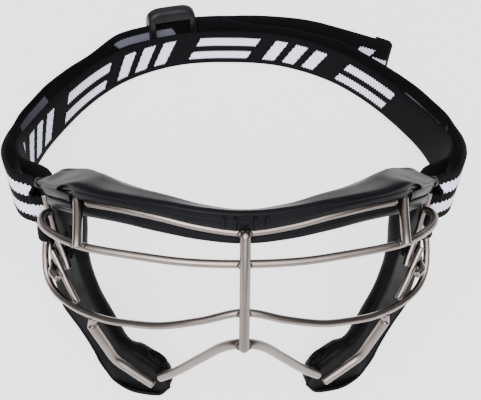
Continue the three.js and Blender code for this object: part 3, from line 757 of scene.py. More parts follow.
def weld_beads():
    """Beads on both sides of each nose bar crossing and of each post's foot, and on each web."""
    across, forward, rise = BAR_BEAD_SHARES
    for side, sign in SIDES:
        for label, (middle, diameter) in CROSSINGS.items():
            centre = middle + np.array([sign * NOSE_BAR * across, diameter * forward, diameter * rise])
            weld_bead(f"weld_{label}_{side}", centre, diameter * BAR_BEAD_RADIUS_SHARE)
        foot = POST_POINTS[-1] * [sign, 1, 1]
        for spot, reach in (("near", -1), ("far", 1)):
            centre = foot + np.array(FOOT_BEAD_SHARES) * [reach, 1, 1] * POST_WIRE
            weld_bead(f"weld_post_{spot}_{side}", centre, POST_WIRE * FOOT_BEAD_RADIUS_SHARE)
        centre = web_top(sign) - np.array([0, 0, LOWER_WIRE / 2])
        weld_bead(f"weld_web_{side}", centre, LOWER_WIRE * WEB_BEAD_RADIUS_SHARE)


weld_beads()

# Brow pad: place from the middle to the tip, crest, depth, rear and drop as shares of the
# pad's height and depth, then how its section is squeezed and lifted.
BROW_ROW_SHARES = np.array([
    (0, 0.614, 0.567, 0.214, 0.321, 1, 0), (0.16, 0.53, 0.633, 0.171, 0.385, 1, 0),
    (0.31, 0.443, 0.767, 0.114, 0.45, 1, 0), (0.43, 0.41, 0.8, 0.1, 0.43, 1, 0),
    (0.53, 0.4, 0.94, 0.13, 0.43, 1, 0), (0.65, 0.4, 1.0, 0.32, 0.43, 1, 0),
    (0.8, 0.43, 0.96, 0.56, 0.4, 1, 0), (0.905, 0.4, 0.74, 0.62, 0.36, 1, 0),
    (0.94, 0.38, 0.6, 0.58, 0.35, 1, 0), (0.955, 0.38, 0.55, 0.56, 0.32, 0.5, 0.17),
    (1, 0.3, 0.3, 0.4, 0.3, 0.36, 0.17),
])
BROW_SCALE = [BROW_PAD_HEIGHT, BROW_PAD_DEPTH, BROW_PAD_HEIGHT, BROW_PAD_HEIGHT, 1, BROW_PAD_HEIGHT]
BROW_STATIONS = 241
# Stretch over which the rows are averaged, in how many samples, and where that ends.
BROW_SPREAD = 0.05
BROW_SAMPLES = 9
BROW_SPREAD_END = 0.94
BROW_SPREAD_FADE = 0.08
# Rise of the crest over a post's bend, and the step in the pad's front face.
HOOD_AT = 0.67
HOOD_REACH = 0.11
HOOD_RISE = 2.4
FRONT_STEP = 0.35
STEP_EDGE = 0.2


def brow_values(station):
    """Row values, averaged over a short stretch so that the pad has no corners."""
    spread = BROW_SPREAD * min(1, max(BROW_SPREAD_END - station, 0) / BROW_SPREAD_FADE)
    near = station + spread * np.linspace(-1, 1, BROW_SAMPLES)
    places, *columns = BROW_ROW_SHARES.T
    return np.array([np.mean(np.interp(near, places, column)) for column in columns])


def brow_outline(crest, depth, rear, drop, squeeze, lift):
    """Section of the pad round the brow wire, as (forward, up) pairs."""
    groove = BROW_WIRE / 2 + SEAT_GAP
    lip = LIP_REACH
    middle = groove + (crest - groove) * 0.55
    face = lip * 0.82
    points = [(-lip * 0.8, crest), (lip * 0.25, crest - lip * 0.1), (lip * 0.75, crest - lip * 0.5),
              (face, middle + STEP_EDGE), (face + FRONT_STEP, middle - STEP_EDGE),
              (face + FRONT_STEP, groove + lip * 0.45), (lip * 0.6, groove + lip * 0.12)]
    points += [(math.cos(math.radians(a)) * groove, math.sin(math.radians(a)) * groove)
               for a in range(60, 301, 24)]
    points += [(lip * 0.6, -groove - lip / 4), (lip, -groove - lip), (lip * 0.8, -drop + lip / 2),
               (0, -drop), (-depth * 0.3, -drop), (-depth * 0.65, -drop * 0.75),
               (-depth, -LIP_THICKNESS / 2), (-depth - lip / 4, rear / 2), (-depth, rear - lip * 0.7),
               (-depth + lip, rear), (-depth * 0.75, crest * 0.3 + rear * 0.7 + lip / 4),
               (-depth / 2, (crest + rear) / 2 + lip / 3),
               (-depth * 0.25, crest * 0.8 + rear * 0.2 + lip / 5)]
    outline = chaikin(points)
    outline[:, 1] = outline[:, 1] * squeeze + lift
    return outline


def smooth_radii(radii, steps):
    return smooth_path([(radius, 0, 0) for radius in radii], steps)[:, 0]


# Eye-shaped recess over a post's bend: place along the brow, forward, up, and radius. The
# curves of the pad's details take the same number of points per span.
RECESS_ROWS = np.array([
    (0.79, 0.2, 4.2, 0.15), (0.755, 0.9, 4.8, 1.0), (0.715, 1.5, 5.5, 1.6), (0.68, 1.9, 5.7, 1.8),
    (0.655, 2.1, 5.2, 1.6), (0.635, 2.3, 4.2, 0.9),
])
BROW_STEPS = 6


def brow_pad():
    sections = []
    for station in np.linspace(-1, 1, BROW_STATIONS):
        crest, depth, rear, drop, squeeze, lift = brow_values(abs(station)) * BROW_SCALE
        hood = math.exp(-((abs(station) - HOOD_AT) / HOOD_REACH) ** 2) * HOOD_RISE
        outline = brow_outline(crest + hood, depth, rear, drop, squeeze, lift)
        origin, forward = brow_place(station)
        sections.append([origin + forward * f + np.array([0, 0, h]) for f, h in outline])
    pad = loft("brow_pad_shell", on_table(sections), crease_angle=45)
    cutters = []
    for _, sign in SIDES:
        cutters += side_cutters(sign, "temple_post", room=ARCH_ROOM)
        cutters += side_cutters(sign, "strap_bracket", "upper_rim_wire")
        recess = np.array([by_brow(*row[:3]) for row in RECESS_ROWS]) * [sign, 1, 1]
        cutters.append(pod("cutter", on_table(smooth_path(recess, BROW_STEPS)),
                           smooth_radii(RECESS_ROWS[:, 3], BROW_STEPS)))
    return carve(pad, cutters)


# Moulded bars past the end of the brow wire: place along the brow, forward, up, and then
# the bar's height and depth.
TEMPLE_BARS = {
    "upper": ([(0.945, 0.0, 2.2), (0.9, 0.8, 2.5), (0.83, 1.0, 2.8), (0.76, 1.1, 2.8), (0.7, 1.2, 2.5),
               (0.665, 1.2, 2.2)], (3.4, 1.9)),
    "lower": ([(0.93, 0.0, -1.4), (0.89, 0.6, -1.5), (0.83, 0.8, -1.5), (0.76, 0.9, -1.5), (0.7, 0.9, -1.7),
               (0.668, 0.8, -1.9)], (3.0, 1.9)),
}
# How square a bar's section is, out and up, and how much its end slims, over what length.
BAR_SQUARENESS = (0.7, 0.75)
BAR_SLIM_SHARE = 0.35
BAR_SLIM_LENGTH_SHARE = 0.15


def temple_bar(side, sign, label):
    """Moulded bar on the brow pad's temple, over the root of a post."""
    rows, (tall, deep) = TEMPLE_BARS[label]
    path = smooth_path([by_brow(*row) for row in rows], BROW_STEPS) * [sign, 1, 1]
    upright = np.array([0, 0, 1.0])
    sections = []
    for point, direction, share in zip(path, tangents(path), np.linspace(0, 1, len(path))):
        out = unit(np.cross(direction, upright)) * sign
        size = 1 - BAR_SLIM_SHARE * (1 - min(share / BAR_SLIM_LENGTH_SHARE, 1)) ** 2
        ring = []
        for turn in around(WIRE_SIDES):
            c, k = squared(math.cos(turn), BAR_SQUARENESS[0]), squared(math.sin(turn), BAR_SQUARENESS[1])
            ring.append(point + (out * c * deep + upright * k * tall) / 2 * size)
        sections.append(ring)
    bar = loft(f"temple_bar_{label}_{side}", on_table(sections), crease_angle=60)
    carve(bar, side_cutters(sign, "temple_post", "strap_bracket", "upper_rim_wire"))
    dress(bar, *SHELL)


def shell_lump(name, rows, sign, squash=1.0):
    """Lump of the brow shell's plastic."""
    rows = np.array(rows)
    path = on_table(smooth_path(rows[:, :3] * [sign, 1, 1], LUMP_STEPS))
    dress(pod(name, path, smooth_radii(rows[:, 3], LUMP_STEPS), squash), *SHELL)


def moulded_rib(name, line, width, look):
    dress(tube(name, line, width, RIB_SIDES, 0.9), *look)


# Points of the lumps in worn-frame millimetres, each with its radius.
TIP_KNOB = [(77.0, -4.6, 14.0, 0.4), (78.6, -2.4, 13.3, 1.5), (79.8, -0.2, 12.7, 1.9),
            (80.4, 2.0, 12.5, 1.9), (80.3, 3.8, 12.3, 0.6)]
TEMPLE_BOSS = [(77.6, -8.2, -4.6, 0.5), (78.0, -8.4, -3.4, 1.7), (78.3, -8.5, -0.6, 2.3),
               (78.3, -8.3, 2.2, 2.0), (77.9, -8.0, 4.4, 0.6)]
LUMP_STEPS = 5
CENTRE_RIBS = (0.032, 0.07)
CENTRE_RIB_RISES = (2.4, 4, 5.6, 7.0)
CENTRE_RIB_WIDTH = 1.2
CENTRE_RIB_PROUD = 0.2


def brow_details():
    """Temple bars, the knob over each bracket's top, and the ribs at the middle."""
    for side, sign in SIDES:
        for label in TEMPLE_BARS:
            temple_bar(side, sign, label)
        shell_lump(f"pad_tip_{side}", TIP_KNOB, sign, squash=0.8)
        for i, along in enumerate(CENTRE_RIBS):
            rib = [by_brow(along, LIP_REACH + CENTRE_RIB_PROUD, rise) * [sign, 1, 1]
                   for rise in CENTRE_RIB_RISES]
            moulded_rib(f"centre_rib_{side}_{i}", on_table(rib), CENTRE_RIB_WIDTH, SHELL)


brow_shell = dress(brow_pad(), *SHELL, ("brow_pad",))
brow_details()

# Side pads: the inner and the outer edge of each row as shares of the cage's sizes, and its
# thickness as a share. The flange then widens each row by millimetres.
SIDE_PAD_ROWS = np.array([
    (0.762, -0.29, 0.128, 0.93, -0.105, 0.055, 0.55), (0.79, -0.28, 0, 0.95, -0.08, -0.025, 0.6),
    (0.81, -0.27, -0.09, 0.965, -0.08, -0.13, 0.62), (0.803, -0.285, -0.135, 0.96, -0.1, -0.18, 0.63),
    (0.795, -0.3, -0.18, 0.95, -0.14, -0.25, 0.65), (0.76, -0.35, -0.265, 0.905, -0.24, -0.355, 0.68),
    (0.705, -0.41, -0.35, 0.83, -0.34, -0.44, 0.72), (0.65, -0.462, -0.425, 0.765, -0.425, -0.52, 0.74),
    (0.607, -0.49, -0.464, 0.74, -0.455, -0.565, 0.7), (0.545, -0.535, -0.475, 0.71, -0.485, -0.61, 0.84),
    (0.46, -0.58, -0.51, 0.65, -0.53, -0.675, 0.9), (0.385, -0.612, -0.56, 0.575, -0.57, -0.72, 0.84),
    (0.368, -0.62, -0.62, 0.45, -0.61, -0.705, 0.7),
])
SIDE_PAD_FLANGE = np.array([0.0, 0.0, 1.4, 7.0, 8.8, 7.4, 4.4, 3.0, 2.8, 2.6, 2.2, 1.0, 0.4])
SIDE_PAD_OUTLINE = chaikin([
    (0.03, 0.1), (0.1, 0.02), (0.3, 0.05), (0.62, 0.07), (0.86, 0.04), (0.97, 0.05), (1.01, 0.2),
    (1, 0.55), (0.92, 0.86), (0.7, 1), (0.3, 1), (0.08, 0.86), (0, 0.5),
])
PAD_STEPS = 8
LAST_ROW = len(SIDE_PAD_ROWS) - 1

# Places of the mouldings on a side pad: its row, shares of its width and thickness, and how
# proud it stands. Lines of equal width are ribs, and lumps have a radius at each point.
LIP_PLACES = [(row, 0.985, 0.1) for row in np.linspace(5, LAST_ROW - 0.25, 30)]
LIP_PLACES += [(LAST_ROW, width, 0.1) for width in (0.85, 0.6, 0.35, 0.1)]
LOBE_ROW = 10.2
SHOE_PLACES = [(LOBE_ROW - 0.7 * math.cos(turn), 0.0, 0.42 + 0.2 * math.sin(turn), -0.2)
               for turn in np.linspace(math.radians(-130), math.radians(130), 22)]
SHOE_RIB_PLACES = [(LOBE_ROW + row, 0.0, depth) for row, depth in (
    (0.35, 0.3), (-0.1, 0.33), (-0.25, 0.4), (-0.1, 0.48), (0.35, 0.52))]
FOLD_PLACES = [[(row, width, 0.02, -0.1) for row in np.linspace(first, last, 8)]
               for width, first, last in ((0.3, 0.8, 2.9), (0.48, 1.2, 3.3))]
# Ribs with the curve points per span of their lines, and their widths.
PAD_RIBS = {
    "side_pad_lip_{}": (LIP_PLACES, 3, 1.7), "cheek_horseshoe_{}": (SHOE_PLACES, 3, 1.3),
    "cheek_rib_{}": (SHOE_RIB_PLACES, 5, 1.0), "temple_fold_{}_0": (FOLD_PLACES[0], 3, 1.1),
    "temple_fold_{}_1": (FOLD_PLACES[1], 3, 1.1),
}
TAB_PLACES = [(row, 0.06, 0.02, 0.3) for row in (10.5, 10.8, 11.1, 11.35)]
TAB_RADII = (1.6, 1.9)
SWELL_PLACES = [(row, 0.1, 0.3, -1.2) for row in (4.2, 4.7, 5.2, 5.7)]
SWELL_RADIUS = 2.1
SWELL_TURNS = (0.15, 3.0)


def pad_ways(inner, outer, along):
    """The way across a pad from its inner to its outer edge, and the way to its back."""
    across = outer - inner
    back = unit(np.cross(across, along))
    return across, back if back[1] > 0 else -back


def side_pad(side, sign):
    inner_rows, outer_rows = route(SIDE_PAD_ROWS[:, :3]), route(SIDE_PAD_ROWS[:, 3:6])
    inner = smooth_path(inner_rows, PAD_STEPS)
    outer = smooth_path(outer_rows + unit(outer_rows - inner_rows) * SIDE_PAD_FLANGE[:, None], PAD_STEPS)
    thick = smooth_radii(SIDE_PAD_ROWS[:, 6], PAD_STEPS) * SIDE_PAD_THICKNESS
    sections = []
    for a, b, along, depth in zip(inner, outer, tangents(inner) + tangents(outer), thick):
        across, back = pad_ways(a, b, along)
        sections.append([a + across * w + back * d * depth for w, d in SIDE_PAD_OUTLINE])
    sections = on_table(np.array(sections) * [sign, 1, 1])
    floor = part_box(f"side_pad_{side}")[0][2] * METRE
    sections[..., 2] = np.maximum(sections[..., 2], floor)
    pad = loft(f"side_pad_{side}_soft", sections, crease_angle=60)
    carve(pad, side_cutters(sign, "upper_rim_wire", "lower_rim_wire", "cheek_wire", "strap_bracket")
          + [seat_cutter(nose_path, NOSE_WIRE), seat_cutter(lower_path, LOWER_WIRE)])
    side_pad_details(side, sign, inner, outer, thick, floor)
    return dress(pad, *RUBBER, (f"side_pad_{side}",))


def side_pad_details(side, sign, inner, outer, thick, floor):
    """Lip, folds, swelling and boss of a side pad, and the mouldings on its cheek end."""
    def on_pad(row, width, depth, proud=0.0):
        k = row * PAD_STEPS
        low = int(min(k, len(inner) - 2))
        mix = k - low
        a, b, thickness = (rows[low] * (1 - mix) + rows[low + 1] * mix for rows in (inner, outer, thick))
        across, back = pad_ways(a, b, inner[low + 1] - inner[low] + outer[low + 1] - outer[low])
        return a + across * width + back * depth * thickness - unit(across) * proud

    def line(places, steps):
        return on_table(smooth_path(np.array([on_pad(*spot) for spot in places]) * [sign, 1, 1], steps))

    for name, (places, steps, width) in PAD_RIBS.items():
        path = line(places, steps)
        path[:, 2] = np.maximum(path[:, 2], floor + width / 2)
        moulded_rib(name.format(side), path, width, RUBBER)
    tab = line(TAB_PLACES, LUMP_STEPS)
    dress(pod(f"cheek_tab_{side}", tab, np.linspace(*TAB_RADII, len(tab)), squash=0.8), *RUBBER)
    swell = line(SWELL_PLACES, LUMP_STEPS)
    radii = SWELL_RADIUS * np.sin(np.linspace(*SWELL_TURNS, len(swell)))
    dress(pod(f"pad_swell_{side}", swell, radii), *SHELL)
    shell_lump(f"temple_boss_{side}", TEMPLE_BOSS, sign)


for side, sign in SIDES:
    side_pad(side, sign)

# Strap
INNER_LAYER = [
    (0, 1.003, 0), (0.15, 1, 0), (0.3, 0.986, 0), (0.44, 0.957, 0), (0.56, 0.92, 0), (0.68, 0.868, 0),
    (0.79, 0.797, 0.005), (0.885, 0.71, 0.025), (0.96, 0.61, 0.07), (1.01, 0.51, 0.145),
    (1.024, 0.42, 0.25), (1.013, 0.33, 0.4), (0.965, 0.24, 0.595), (0.885, 0.15, 0.785),
]
OUTER_LAYER = [
    (0.87, 0.062, 0.975), (0.93, 0.115, 0.9), (0.995, 0.2, 0.72), (1.05, 0.3, 0.5), (1.085, 0.4, 0.3),
    (1.1, 0.5, 0.165), (1.08, 0.6, 0.06), (1.035, 0.69, 0.01), (0.939, 0.779, 0), (0.818, 0.864, 0),
]
REST_HEIGHT = WEBBING_WIDTH / 2
STRAP_ORIGIN = CAGE_ORIGIN * [1, 1, 0] + [0, 0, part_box("slider_frame")[0][2] * METRE]
LOOP_MIDDLE = TILT_PIVOT - STRAP_ORIGIN + WORN_BRACKET * [1, 0, 0]
WORN_UP = lean([0, 0, 1])
BACK_CENTRE_Y = (ARC_CENTRE - STRAP_ORIGIN)[1]


def strap_station(share):
    rise = share[2]
    z = REST_HEIGHT + (LOOP_MIDDLE[2] - REST_HEIGHT) * rise
    return np.array([share[0] * STRAP_HALF_WIDTH, share[1] * STRAP_DEPTH, z, rise])


def drifted(station):
    share = math.sin(math.pi * min(max(station[1] / STRAP_DEPTH, 0), 1)) ** 2
    return station + np.array([STRAP_DRIFT * share, 0, 0, 0])


# Share of the side distance, then shares of the front and side distances.
BRACKET_TURN_SHARES = [
    (-1, 0, 2.1), (-1, 0, 0), (-1, -1, 1.2), (-0.8, -1, 0.4), (0, -1, 0), (0.8, -1, 0.4), (1, -1, 1.2),
    (1, 0, 0), (1.3, 0, 1.1),
]


def bracket_turn():
    side = BRACKET_WIRE / 2 + WEBBING_GAP + WEBBING_THICKNESS / 2
    front = side + LOOP_PLAY
    return [np.array([*(LOOP_MIDDLE + [across * side, ahead * front + behind * side, 0]), 1])
            for across, ahead, behind in BRACKET_TURN_SHARES]


BACK_HALF_ANGLE = math.radians(30)
BACK_STATIONS = 21
LIFT_EASE = math.radians(11)
SLIDER_HALF_ANGLE = SLIDER_LENGTH / 2 / BACK_RADIUS


def eased(share):
    share = np.clip(share, 0, 1)
    return share * share * (3 - 2 * share)


def back_height(angle):
    beyond = abs(angle - SLIDER_ANGLE) - SLIDER_HALF_ANGLE - SLIDER_TRAVEL
    return REST_HEIGHT + (SLIDER_HEIGHT / 2 - REST_HEIGHT) * eased(1 - beyond / LIFT_EASE)


def on_back(angle, radius, height):
    return np.array([math.sin(angle) * radius, BACK_CENTRE_Y + math.cos(angle) * radius, height])


def strap_stations():
    """Places round the strap's middle line, each with how far the band leans with the cage."""
    inner, outer = ([drifted(strap_station(s)) for s in layer] for layer in (INNER_LAYER, OUTER_LAYER))
    left_inner, left_outer = ([drifted(strap_station(s) * [-1, 1, 1, 1]) for s in layer[::-1]]
                              for layer in (INNER_LAYER[1:], OUTER_LAYER))
    back = [[*on_back(angle, BACK_RADIUS, back_height(angle)), 0]
            for angle in np.linspace(BACK_HALF_ANGLE, -BACK_HALF_ANGLE, BACK_STATIONS)]
    turn = bracket_turn()
    left_turn = [station * [-1, 1, 1, 1] for station in turn[::-1]]
    return np.array(inner + turn + outer + back + left_outer + left_turn + left_inner)


def band_outline():
    """Rounded-edge section of the band as (out, up) pairs, the printed side first."""
    t, w = WEBBING_THICKNESS / 2, WEBBING_WIDTH / 2
    edge = WEBBING_THICKNESS * 0.45
    ups = [-w + edge, -w * 0.6, -w * 0.2, w * 0.2, w * 0.6, w - edge]
    top = [(t * 0.6, w - edge * 0.3), (0, w), (-t * 0.6, w - edge * 0.3)]
    return np.array([(t, up) for up in ups] + top + [(-t, up) for up in ups[::-1]]
                    + [(-out, -up) for out, up in top])


BAND_OUTLINE = band_outline()
BAND_V = np.append(BAND_OUTLINE[:, 1], BAND_OUTLINE[0, 1]) + WEBBING_WIDTH / 2
PRINTED_COLUMNS = range(0, 5)
REVERSE_COLUMNS = range(9, 14)
BAND_STEPS = 6


def paint_faces(piece, reverse_of_row):
    """Prints the outer face in the given rows, and gives their reverse the named material."""
    for polygon in piece.data.polygons:
        row, column = divmod(polygon.index, len(BAND_OUTLINE))
        if row in reverse_of_row and column in PRINTED_COLUMNS:
            polygon.material_index = PRINTED
        elif row in reverse_of_row and column in REVERSE_COLUMNS:
            polygon.material_index = reverse_of_row[row]


def dress_band(piece, body, materials, node):
    for material in materials:
        piece.data.materials.append(material)
    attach(piece, body)
    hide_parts(node)


def strap_band():
    stations = strap_stations()
    path = smooth_path(stations[:, :3], BAND_STEPS, ring=True)
    leans = smooth_path(np.stack([stations[:, 3]] * 3, -1), BAND_STEPS, ring=True)[:, 0]
    sections = []
    for point, direction, share in zip(path, unit(np.roll(path, -1, 0) - np.roll(path, 1, 0)), leans):
        upright = unit(np.array([0, 0, 1.0]) * (1 - share) + WORN_UP * share)
        out = unit(np.cross(direction, upright))
        high = unit(np.cross(out, direction))
        sections.append([point + out * o + high * h for o, h in BAND_OUTLINE])
    u_values = lengths_along(path)
    turn_row = int(np.searchsorted(u_values, LEFT_TURN_LENGTH))
    u_values[turn_row:] -= u_values[-1] + np.linalg.norm(path[0] - path[-1])
    piece = loft("strap_woven", np.array(sections) + STRAP_ORIGIN, ring=True, crease_angle=60,
                 u_values=u_values, v_values=BAND_V)
    dress_band(piece, "strap", (plain_webbing, printed_webbing, shaded_print_webbing), "strap_webbing")
    # The reverse of the band carries the print's copy, painted in shade.
    paint_faces(piece, {row: SHADED_PRINT for row in range(len(path)) if row != turn_row - 1})


strap_band()

# Slider, its bar, and the tail with its hem
LAYER_PITCH = WEBBING_THICKNESS + WEBBING_GAP
TAIL_RADIUS = BACK_RADIUS + LAYER_PITCH
BAND_LOW = (SLIDER_HEIGHT - WEBBING_WIDTH) / 2
TAIL_FLARE_SHARES = [(0, 0), (0.3, 0.3), (0.5, 0.55), (0.7, 0.5), (0.88, 0.7), (1, 1)]
TAIL_SPREAD = 0.08
SLOT_INSIDE = BACK_RADIUS - WEBBING_THICKNESS / 2 - WEBBING_GAP
SLOT_OUTSIDE = TAIL_RADIUS + WEBBING_THICKNESS / 2 + WEBBING_GAP
TAIL_START_ANGLE = SLIDER_ANGLE + (SLIDER_BAR / 2 + WEBBING_GAP) / TAIL_RADIUS


def tail_spring(angle):
    """How far the tail stands off the band, averaged over a short stretch."""
    share = min(max(angle / TAIL_END_ANGLE, 0), 1)
    near = share + TAIL_SPREAD * np.linspace(-1, 1, 5)
    standing = float(np.mean(np.interp(near, *np.transpose(TAIL_FLARE_SHARES)))) * TAIL_FLARE
    return standing * min(share / TAIL_SPREAD, 1)


# Height of the slider at its ends and at its middle, as shares of its height, and the share
# of its length over which it grows.
SLIDER_CROWN = (0.96, 1.16)
CROWN_LENGTH = 0.28
# Share by which the ends slim, over what share of the length.
END_SLIM = 0.16
END_SLIM_LENGTH = 0.08
# How square the section is: outward, below its middle and above it.
SLIDER_SQUARENESS = (0.45, 0.5, 0.62)
SLIDER_RINGS = 41
SLIDER_SIDES = 56


def slider_rings():
    inside, outside = SLOT_INSIDE - SLIDER_WALL, SLOT_OUTSIDE + SLIDER_WALL
    middle, half = (inside + outside) / 2, (outside - inside) / 2
    sideways, below, above = SLIDER_SQUARENESS
    rings = []
    for along in np.linspace(0, 1, SLIDER_RINGS):
        angle = SLIDER_ANGLE + SLIDER_HALF_ANGLE * (2 * along - 1)
        end = min(along, 1 - along)
        crown = math.sqrt(max(1 - (1 - min(end / CROWN_LENGTH, 1)) ** 2, 0))
        top = SLIDER_HEIGHT * (SLIDER_CROWN[0] + (SLIDER_CROWN[1] - SLIDER_CROWN[0]) * crown)
        slim = 1 - END_SLIM * (1 - min(end / END_SLIM_LENGTH, 1)) ** 2
        points = []
        for turn in around(SLIDER_SIDES):
            k = math.sin(turn)
            points.append(on_back(angle, middle + half * slim * squared(math.cos(turn), sideways),
                                  top / 2 * (1 + squared(k, below if k < 0 else above))))
        rings.append(points)
    return np.array(rings)


# Half lengths of the slot and of the window in the inner wall, as shares of the slider's,
# and the lower and upper edge of the window.
SLOT_REACH = 1.15
WINDOW_REACH = 0.74
WINDOW_EDGES = (2.0, 31.5)


def arc_cutter(reach, near, far, low, high):
    """Cutter along the slider's arc, between two radii and two heights."""
    corners = ((near, low), (far, low), (far, high), (near, high))
    rings = [[on_back(angle, r, h) for r, h in corners]
             for angle in np.linspace(-reach, reach, 17) * SLIDER_HALF_ANGLE + SLIDER_ANGLE]
    return loft("cutter", np.array(rings) + STRAP_ORIGIN)


def slider():
    frame_piece = loft("slider_moulded", slider_rings() + STRAP_ORIGIN, crease_angle=50)
    low = BAND_LOW - WEBBING_GAP
    carve(frame_piece, [
        arc_cutter(SLOT_REACH, SLOT_INSIDE, SLOT_OUTSIDE, low, SLIDER_HEIGHT - low),
        arc_cutter(WINDOW_REACH, SLOT_INSIDE - 2 * SLIDER_WALL, SLOT_INSIDE + WEBBING_GAP / 2,
                   *WINDOW_EDGES),
    ])
    dress(frame_piece, "slider", nylon, "slider_plastic", ("slider_frame",))
    half = SLIDER_HEIGHT / 2 - low - SEAT_GAP
    ends = [on_back(SLIDER_ANGLE, TAIL_RADIUS, SLIDER_HEIGHT / 2 + end) for end in (-half, half)]
    dress(tube("slider_bar_turned", np.array(ends) + STRAP_ORIGIN, SLIDER_BAR), "slider", bar_steel,
          "slider_steel", ("slider_bar",))


# Radius of the corners at the loose end, and the rings that follow them.
END_ROUND = 3.5
END_RINGS = 7
TAIL_RINGS = 90
HEM_RINGS = 16
# Rows of the tail where its print begins and where the reverse's own print begins.
TAIL_FIRST_ROW = 31
TAIL_PRINT_ROW = 67
HEM_RADIUS = TAIL_RADIUS + WEBBING_THICKNESS + SEAT_GAP
HEM_ANGLE = TAIL_HEM_LENGTH / HEM_RADIUS


def strip(node, radius, start, rings):
    """Band along the back's arc to the tail's end, with the corners of that end rounded."""
    corner = END_ROUND / radius
    turns = np.linspace(0, math.pi / 2, END_RINGS)
    angles = np.append(np.linspace(start, TAIL_END_ANGLE - corner, rings - END_RINGS, endpoint=False),
                       TAIL_END_ANGLE - corner * (1 - np.sin(turns)))
    narrow = np.append(np.zeros(rings - END_RINGS), END_ROUND * (1 - np.cos(turns)))
    sections = []
    for angle, inset in zip(angles, narrow):
        kept = 1 - inset / (WEBBING_WIDTH / 2)
        sections.append([on_back(angle, radius + o + tail_spring(angle), SLIDER_HEIGHT / 2 + h * kept)
                         for o, h in BAND_OUTLINE])
    piece = loft(f"{node}_woven", np.array(sections) + STRAP_ORIGIN, crease_angle=60, v_values=BAND_V)
    dress_band(piece, "slider", (plain_webbing, printed_webbing, shaded_print_webbing, tail_webbing), node)
    return piece


# Stitches across the hem: their number, half length, thickness, and the height of their
# ends and of their middle over the webbing.
STITCHES = 15
STITCH_REACH = 0.42
STITCH_WIDTH = 0.34
STITCH_RISES = (0.06, 0.2, 0.06)
STITCH_ROWS = (("hem_stitches_outer", 0.2), ("hem_stitches_inner", 0.45))


def stitch_row(name, share):
    """Short raised stitches across the hem, joined into one piece."""
    angle = TAIL_END_ANGLE - HEM_ANGLE * (1 - share)
    surface = HEM_RADIUS + WEBBING_THICKNESS / 2 + tail_spring(angle)
    stitches = []
    for i in range(STITCHES):
        middle = BAND_LOW + WEBBING_WIDTH * (i + 1) / (STITCHES + 1)
        points = [on_back(angle, surface + rise, middle + STITCH_REACH * end)
                  for rise, end in zip(STITCH_RISES, (-1, 0, 1))]
        stitches.append(tube(f"{name}_{i}", np.array(points) + STRAP_ORIGIN, STITCH_WIDTH, 8, 0.5))
    bpy.ops.object.select_all(action="DESELECT")
    for stitch in stitches:
        stitch.select_set(True)
    bpy.context.view_layer.objects.active = stitches[0]
    bpy.ops.object.join()
    stitches[0].name = name
    dress(stitches[0], "slider", thread, "webbing")


slider()
tail = strip("strap_tail", TAIL_RADIUS, TAIL_START_ANGLE, TAIL_RINGS)
# The tail's reverse carries the print's copy painted in shade, then the tail's own print.
paint_faces(tail, {row: TAIL if row >= TAIL_PRINT_ROW else SHADED_PRINT
                   for row in range(TAIL_FIRST_ROW, TAIL_RINGS - 1)})
strip("tail_hem", HEM_RADIUS, TAIL_END_ANGLE - HEM_ANGLE, HEM_RINGS)
for name, share in STITCH_ROWS:
    stitch_row(name, share)

# Floor, light and camera
FLOOR_HALF = 1500.0
FLOOR_GREY = (0.3, 0.3, 0.3, 1)
FLOOR_GLOW = 2.0
WHITE = (1, 1, 1, 1)


def make_floor():
    corners = [(x * FLOOR_HALF, y * FLOOR_HALF, 0) for x, y in ((-1, -1), (1, -1), (1, 1), (-1, 1))]
    floor = new_mesh("floor", corners, [(0, 1, 2, 3)])
    shader = Shader("floor_paper", Roughness=0.9, Specular_IOR_Level=0.05, Base_Color=FLOOR_GREY,
                    Emission_Color=WHITE, Emission_Strength=FLOOR_GLOW)
    floor.data.materials.append(shader.material)


# Brightness of the studio by height, and the soft light before and behind the camera: its
# direction, the cosine where it begins, and its brightness.
STUDIO_TONES = [(0.0, 0.03), (0.5, 0.03), (0.68, 0.06), (0.85, 0.3), (1.0, 0.5)]
STUDIO_GLOWS = [((-0.1, -0.6, 0.794), 0.6, 6.0), ((0.0, 0.78, 0.62), 0.6, 0.72)]
# The lamp's place and target in metres, its size and its power.
KEY_PLACE = (-0.2, -0.6, 0.85)
KEY_TARGET = (0, 0, 0.03)
KEY_SIZE = 0.4
KEY_POWER = 5


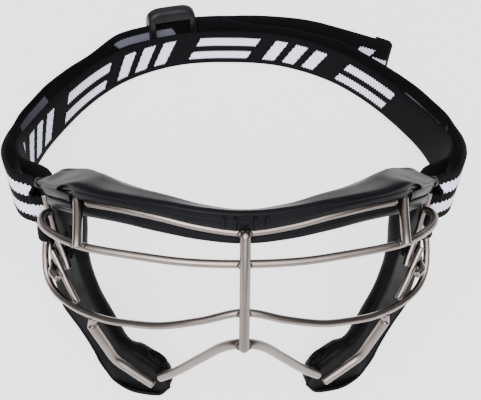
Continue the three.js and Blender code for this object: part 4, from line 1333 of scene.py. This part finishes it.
def make_light():
    world = bpy.data.worlds.new("studio")
    bpy.context.scene.world = world
    world.use_nodes = True
    sky = Nodes(world.node_tree)
    direction = sky.node("ShaderNodeTexCoord").outputs["Generated"]
    height = sky.node("ShaderNodeSeparateXYZ", Vector=direction).outputs["Z"]
    total = sky.ramp(sky.math("MULTIPLY_ADD", height, 0.5, 0.5),
                     [(at, (grey,) * 3) for at, grey in STUDIO_TONES])
    for way, begins, glow in STUDIO_GLOWS:
        toward = sky.tree.nodes.new("ShaderNodeVectorMath")
        toward.operation = "DOT_PRODUCT"
        sky.feed(toward.inputs[0], direction)
        sky.feed(toward.inputs[1], way)
        facing = sky.math("MAXIMUM", sky.math("SUBTRACT", toward.outputs["Value"], begins), 0.0)
        total = sky.math("ADD", total, sky.math("MULTIPLY", facing, glow / (1 - begins)))
    background = sky.tree.nodes["Background"]
    sky.feed(background.inputs["Color"], WHITE)
    sky.feed(background.inputs["Strength"], total)
    data = bpy.data.lights.new("key", "AREA")
    data.shape = "DISK"
    data.size = KEY_SIZE
    data.energy = KEY_POWER
    lamp = bpy.data.objects.new("key", data)
    bpy.context.scene.collection.objects.link(lamp)
    lamp.location = KEY_PLACE
    lamp.rotation_euler = (Vector(KEY_TARGET) - Vector(KEY_PLACE)).to_track_quat("-Z", "Y").to_euler()


# The camera's lens and sensor in millimetres, its place in the worn frame, and how it looks
# down, is turned and is rolled, in degrees.
CAMERA_LENS = 43.04
CAMERA_SENSOR = 36.0
CAMERA_PLACE = (-9.37, -191.99, 143.79)
CAMERA_ANGLES = (36.0, 3.0, 1.5)


def make_camera():
    data = bpy.data.cameras.new("camera")
    data.sensor_width = CAMERA_SENSOR
    data.lens = CAMERA_LENS
    camera = bpy.data.objects.new("camera", data)
    bpy.context.scene.collection.objects.link(camera)
    elevation, yaw, roll = (math.radians(a) for a in CAMERA_ANGLES)
    camera.matrix_world = (
        Matrix.Translation(on_table(CAMERA_PLACE) / METRE) @ Matrix.Rotation(-REST_LEAN, 4, "X")
        @ Matrix.Rotation(-yaw, 4, "Z") @ Matrix.Rotation(math.pi / 2 - elevation, 4, "X")
        @ Matrix.Rotation(roll, 4, "Z"))
    bpy.context.scene.camera = camera


make_floor()
make_light()
make_camera()
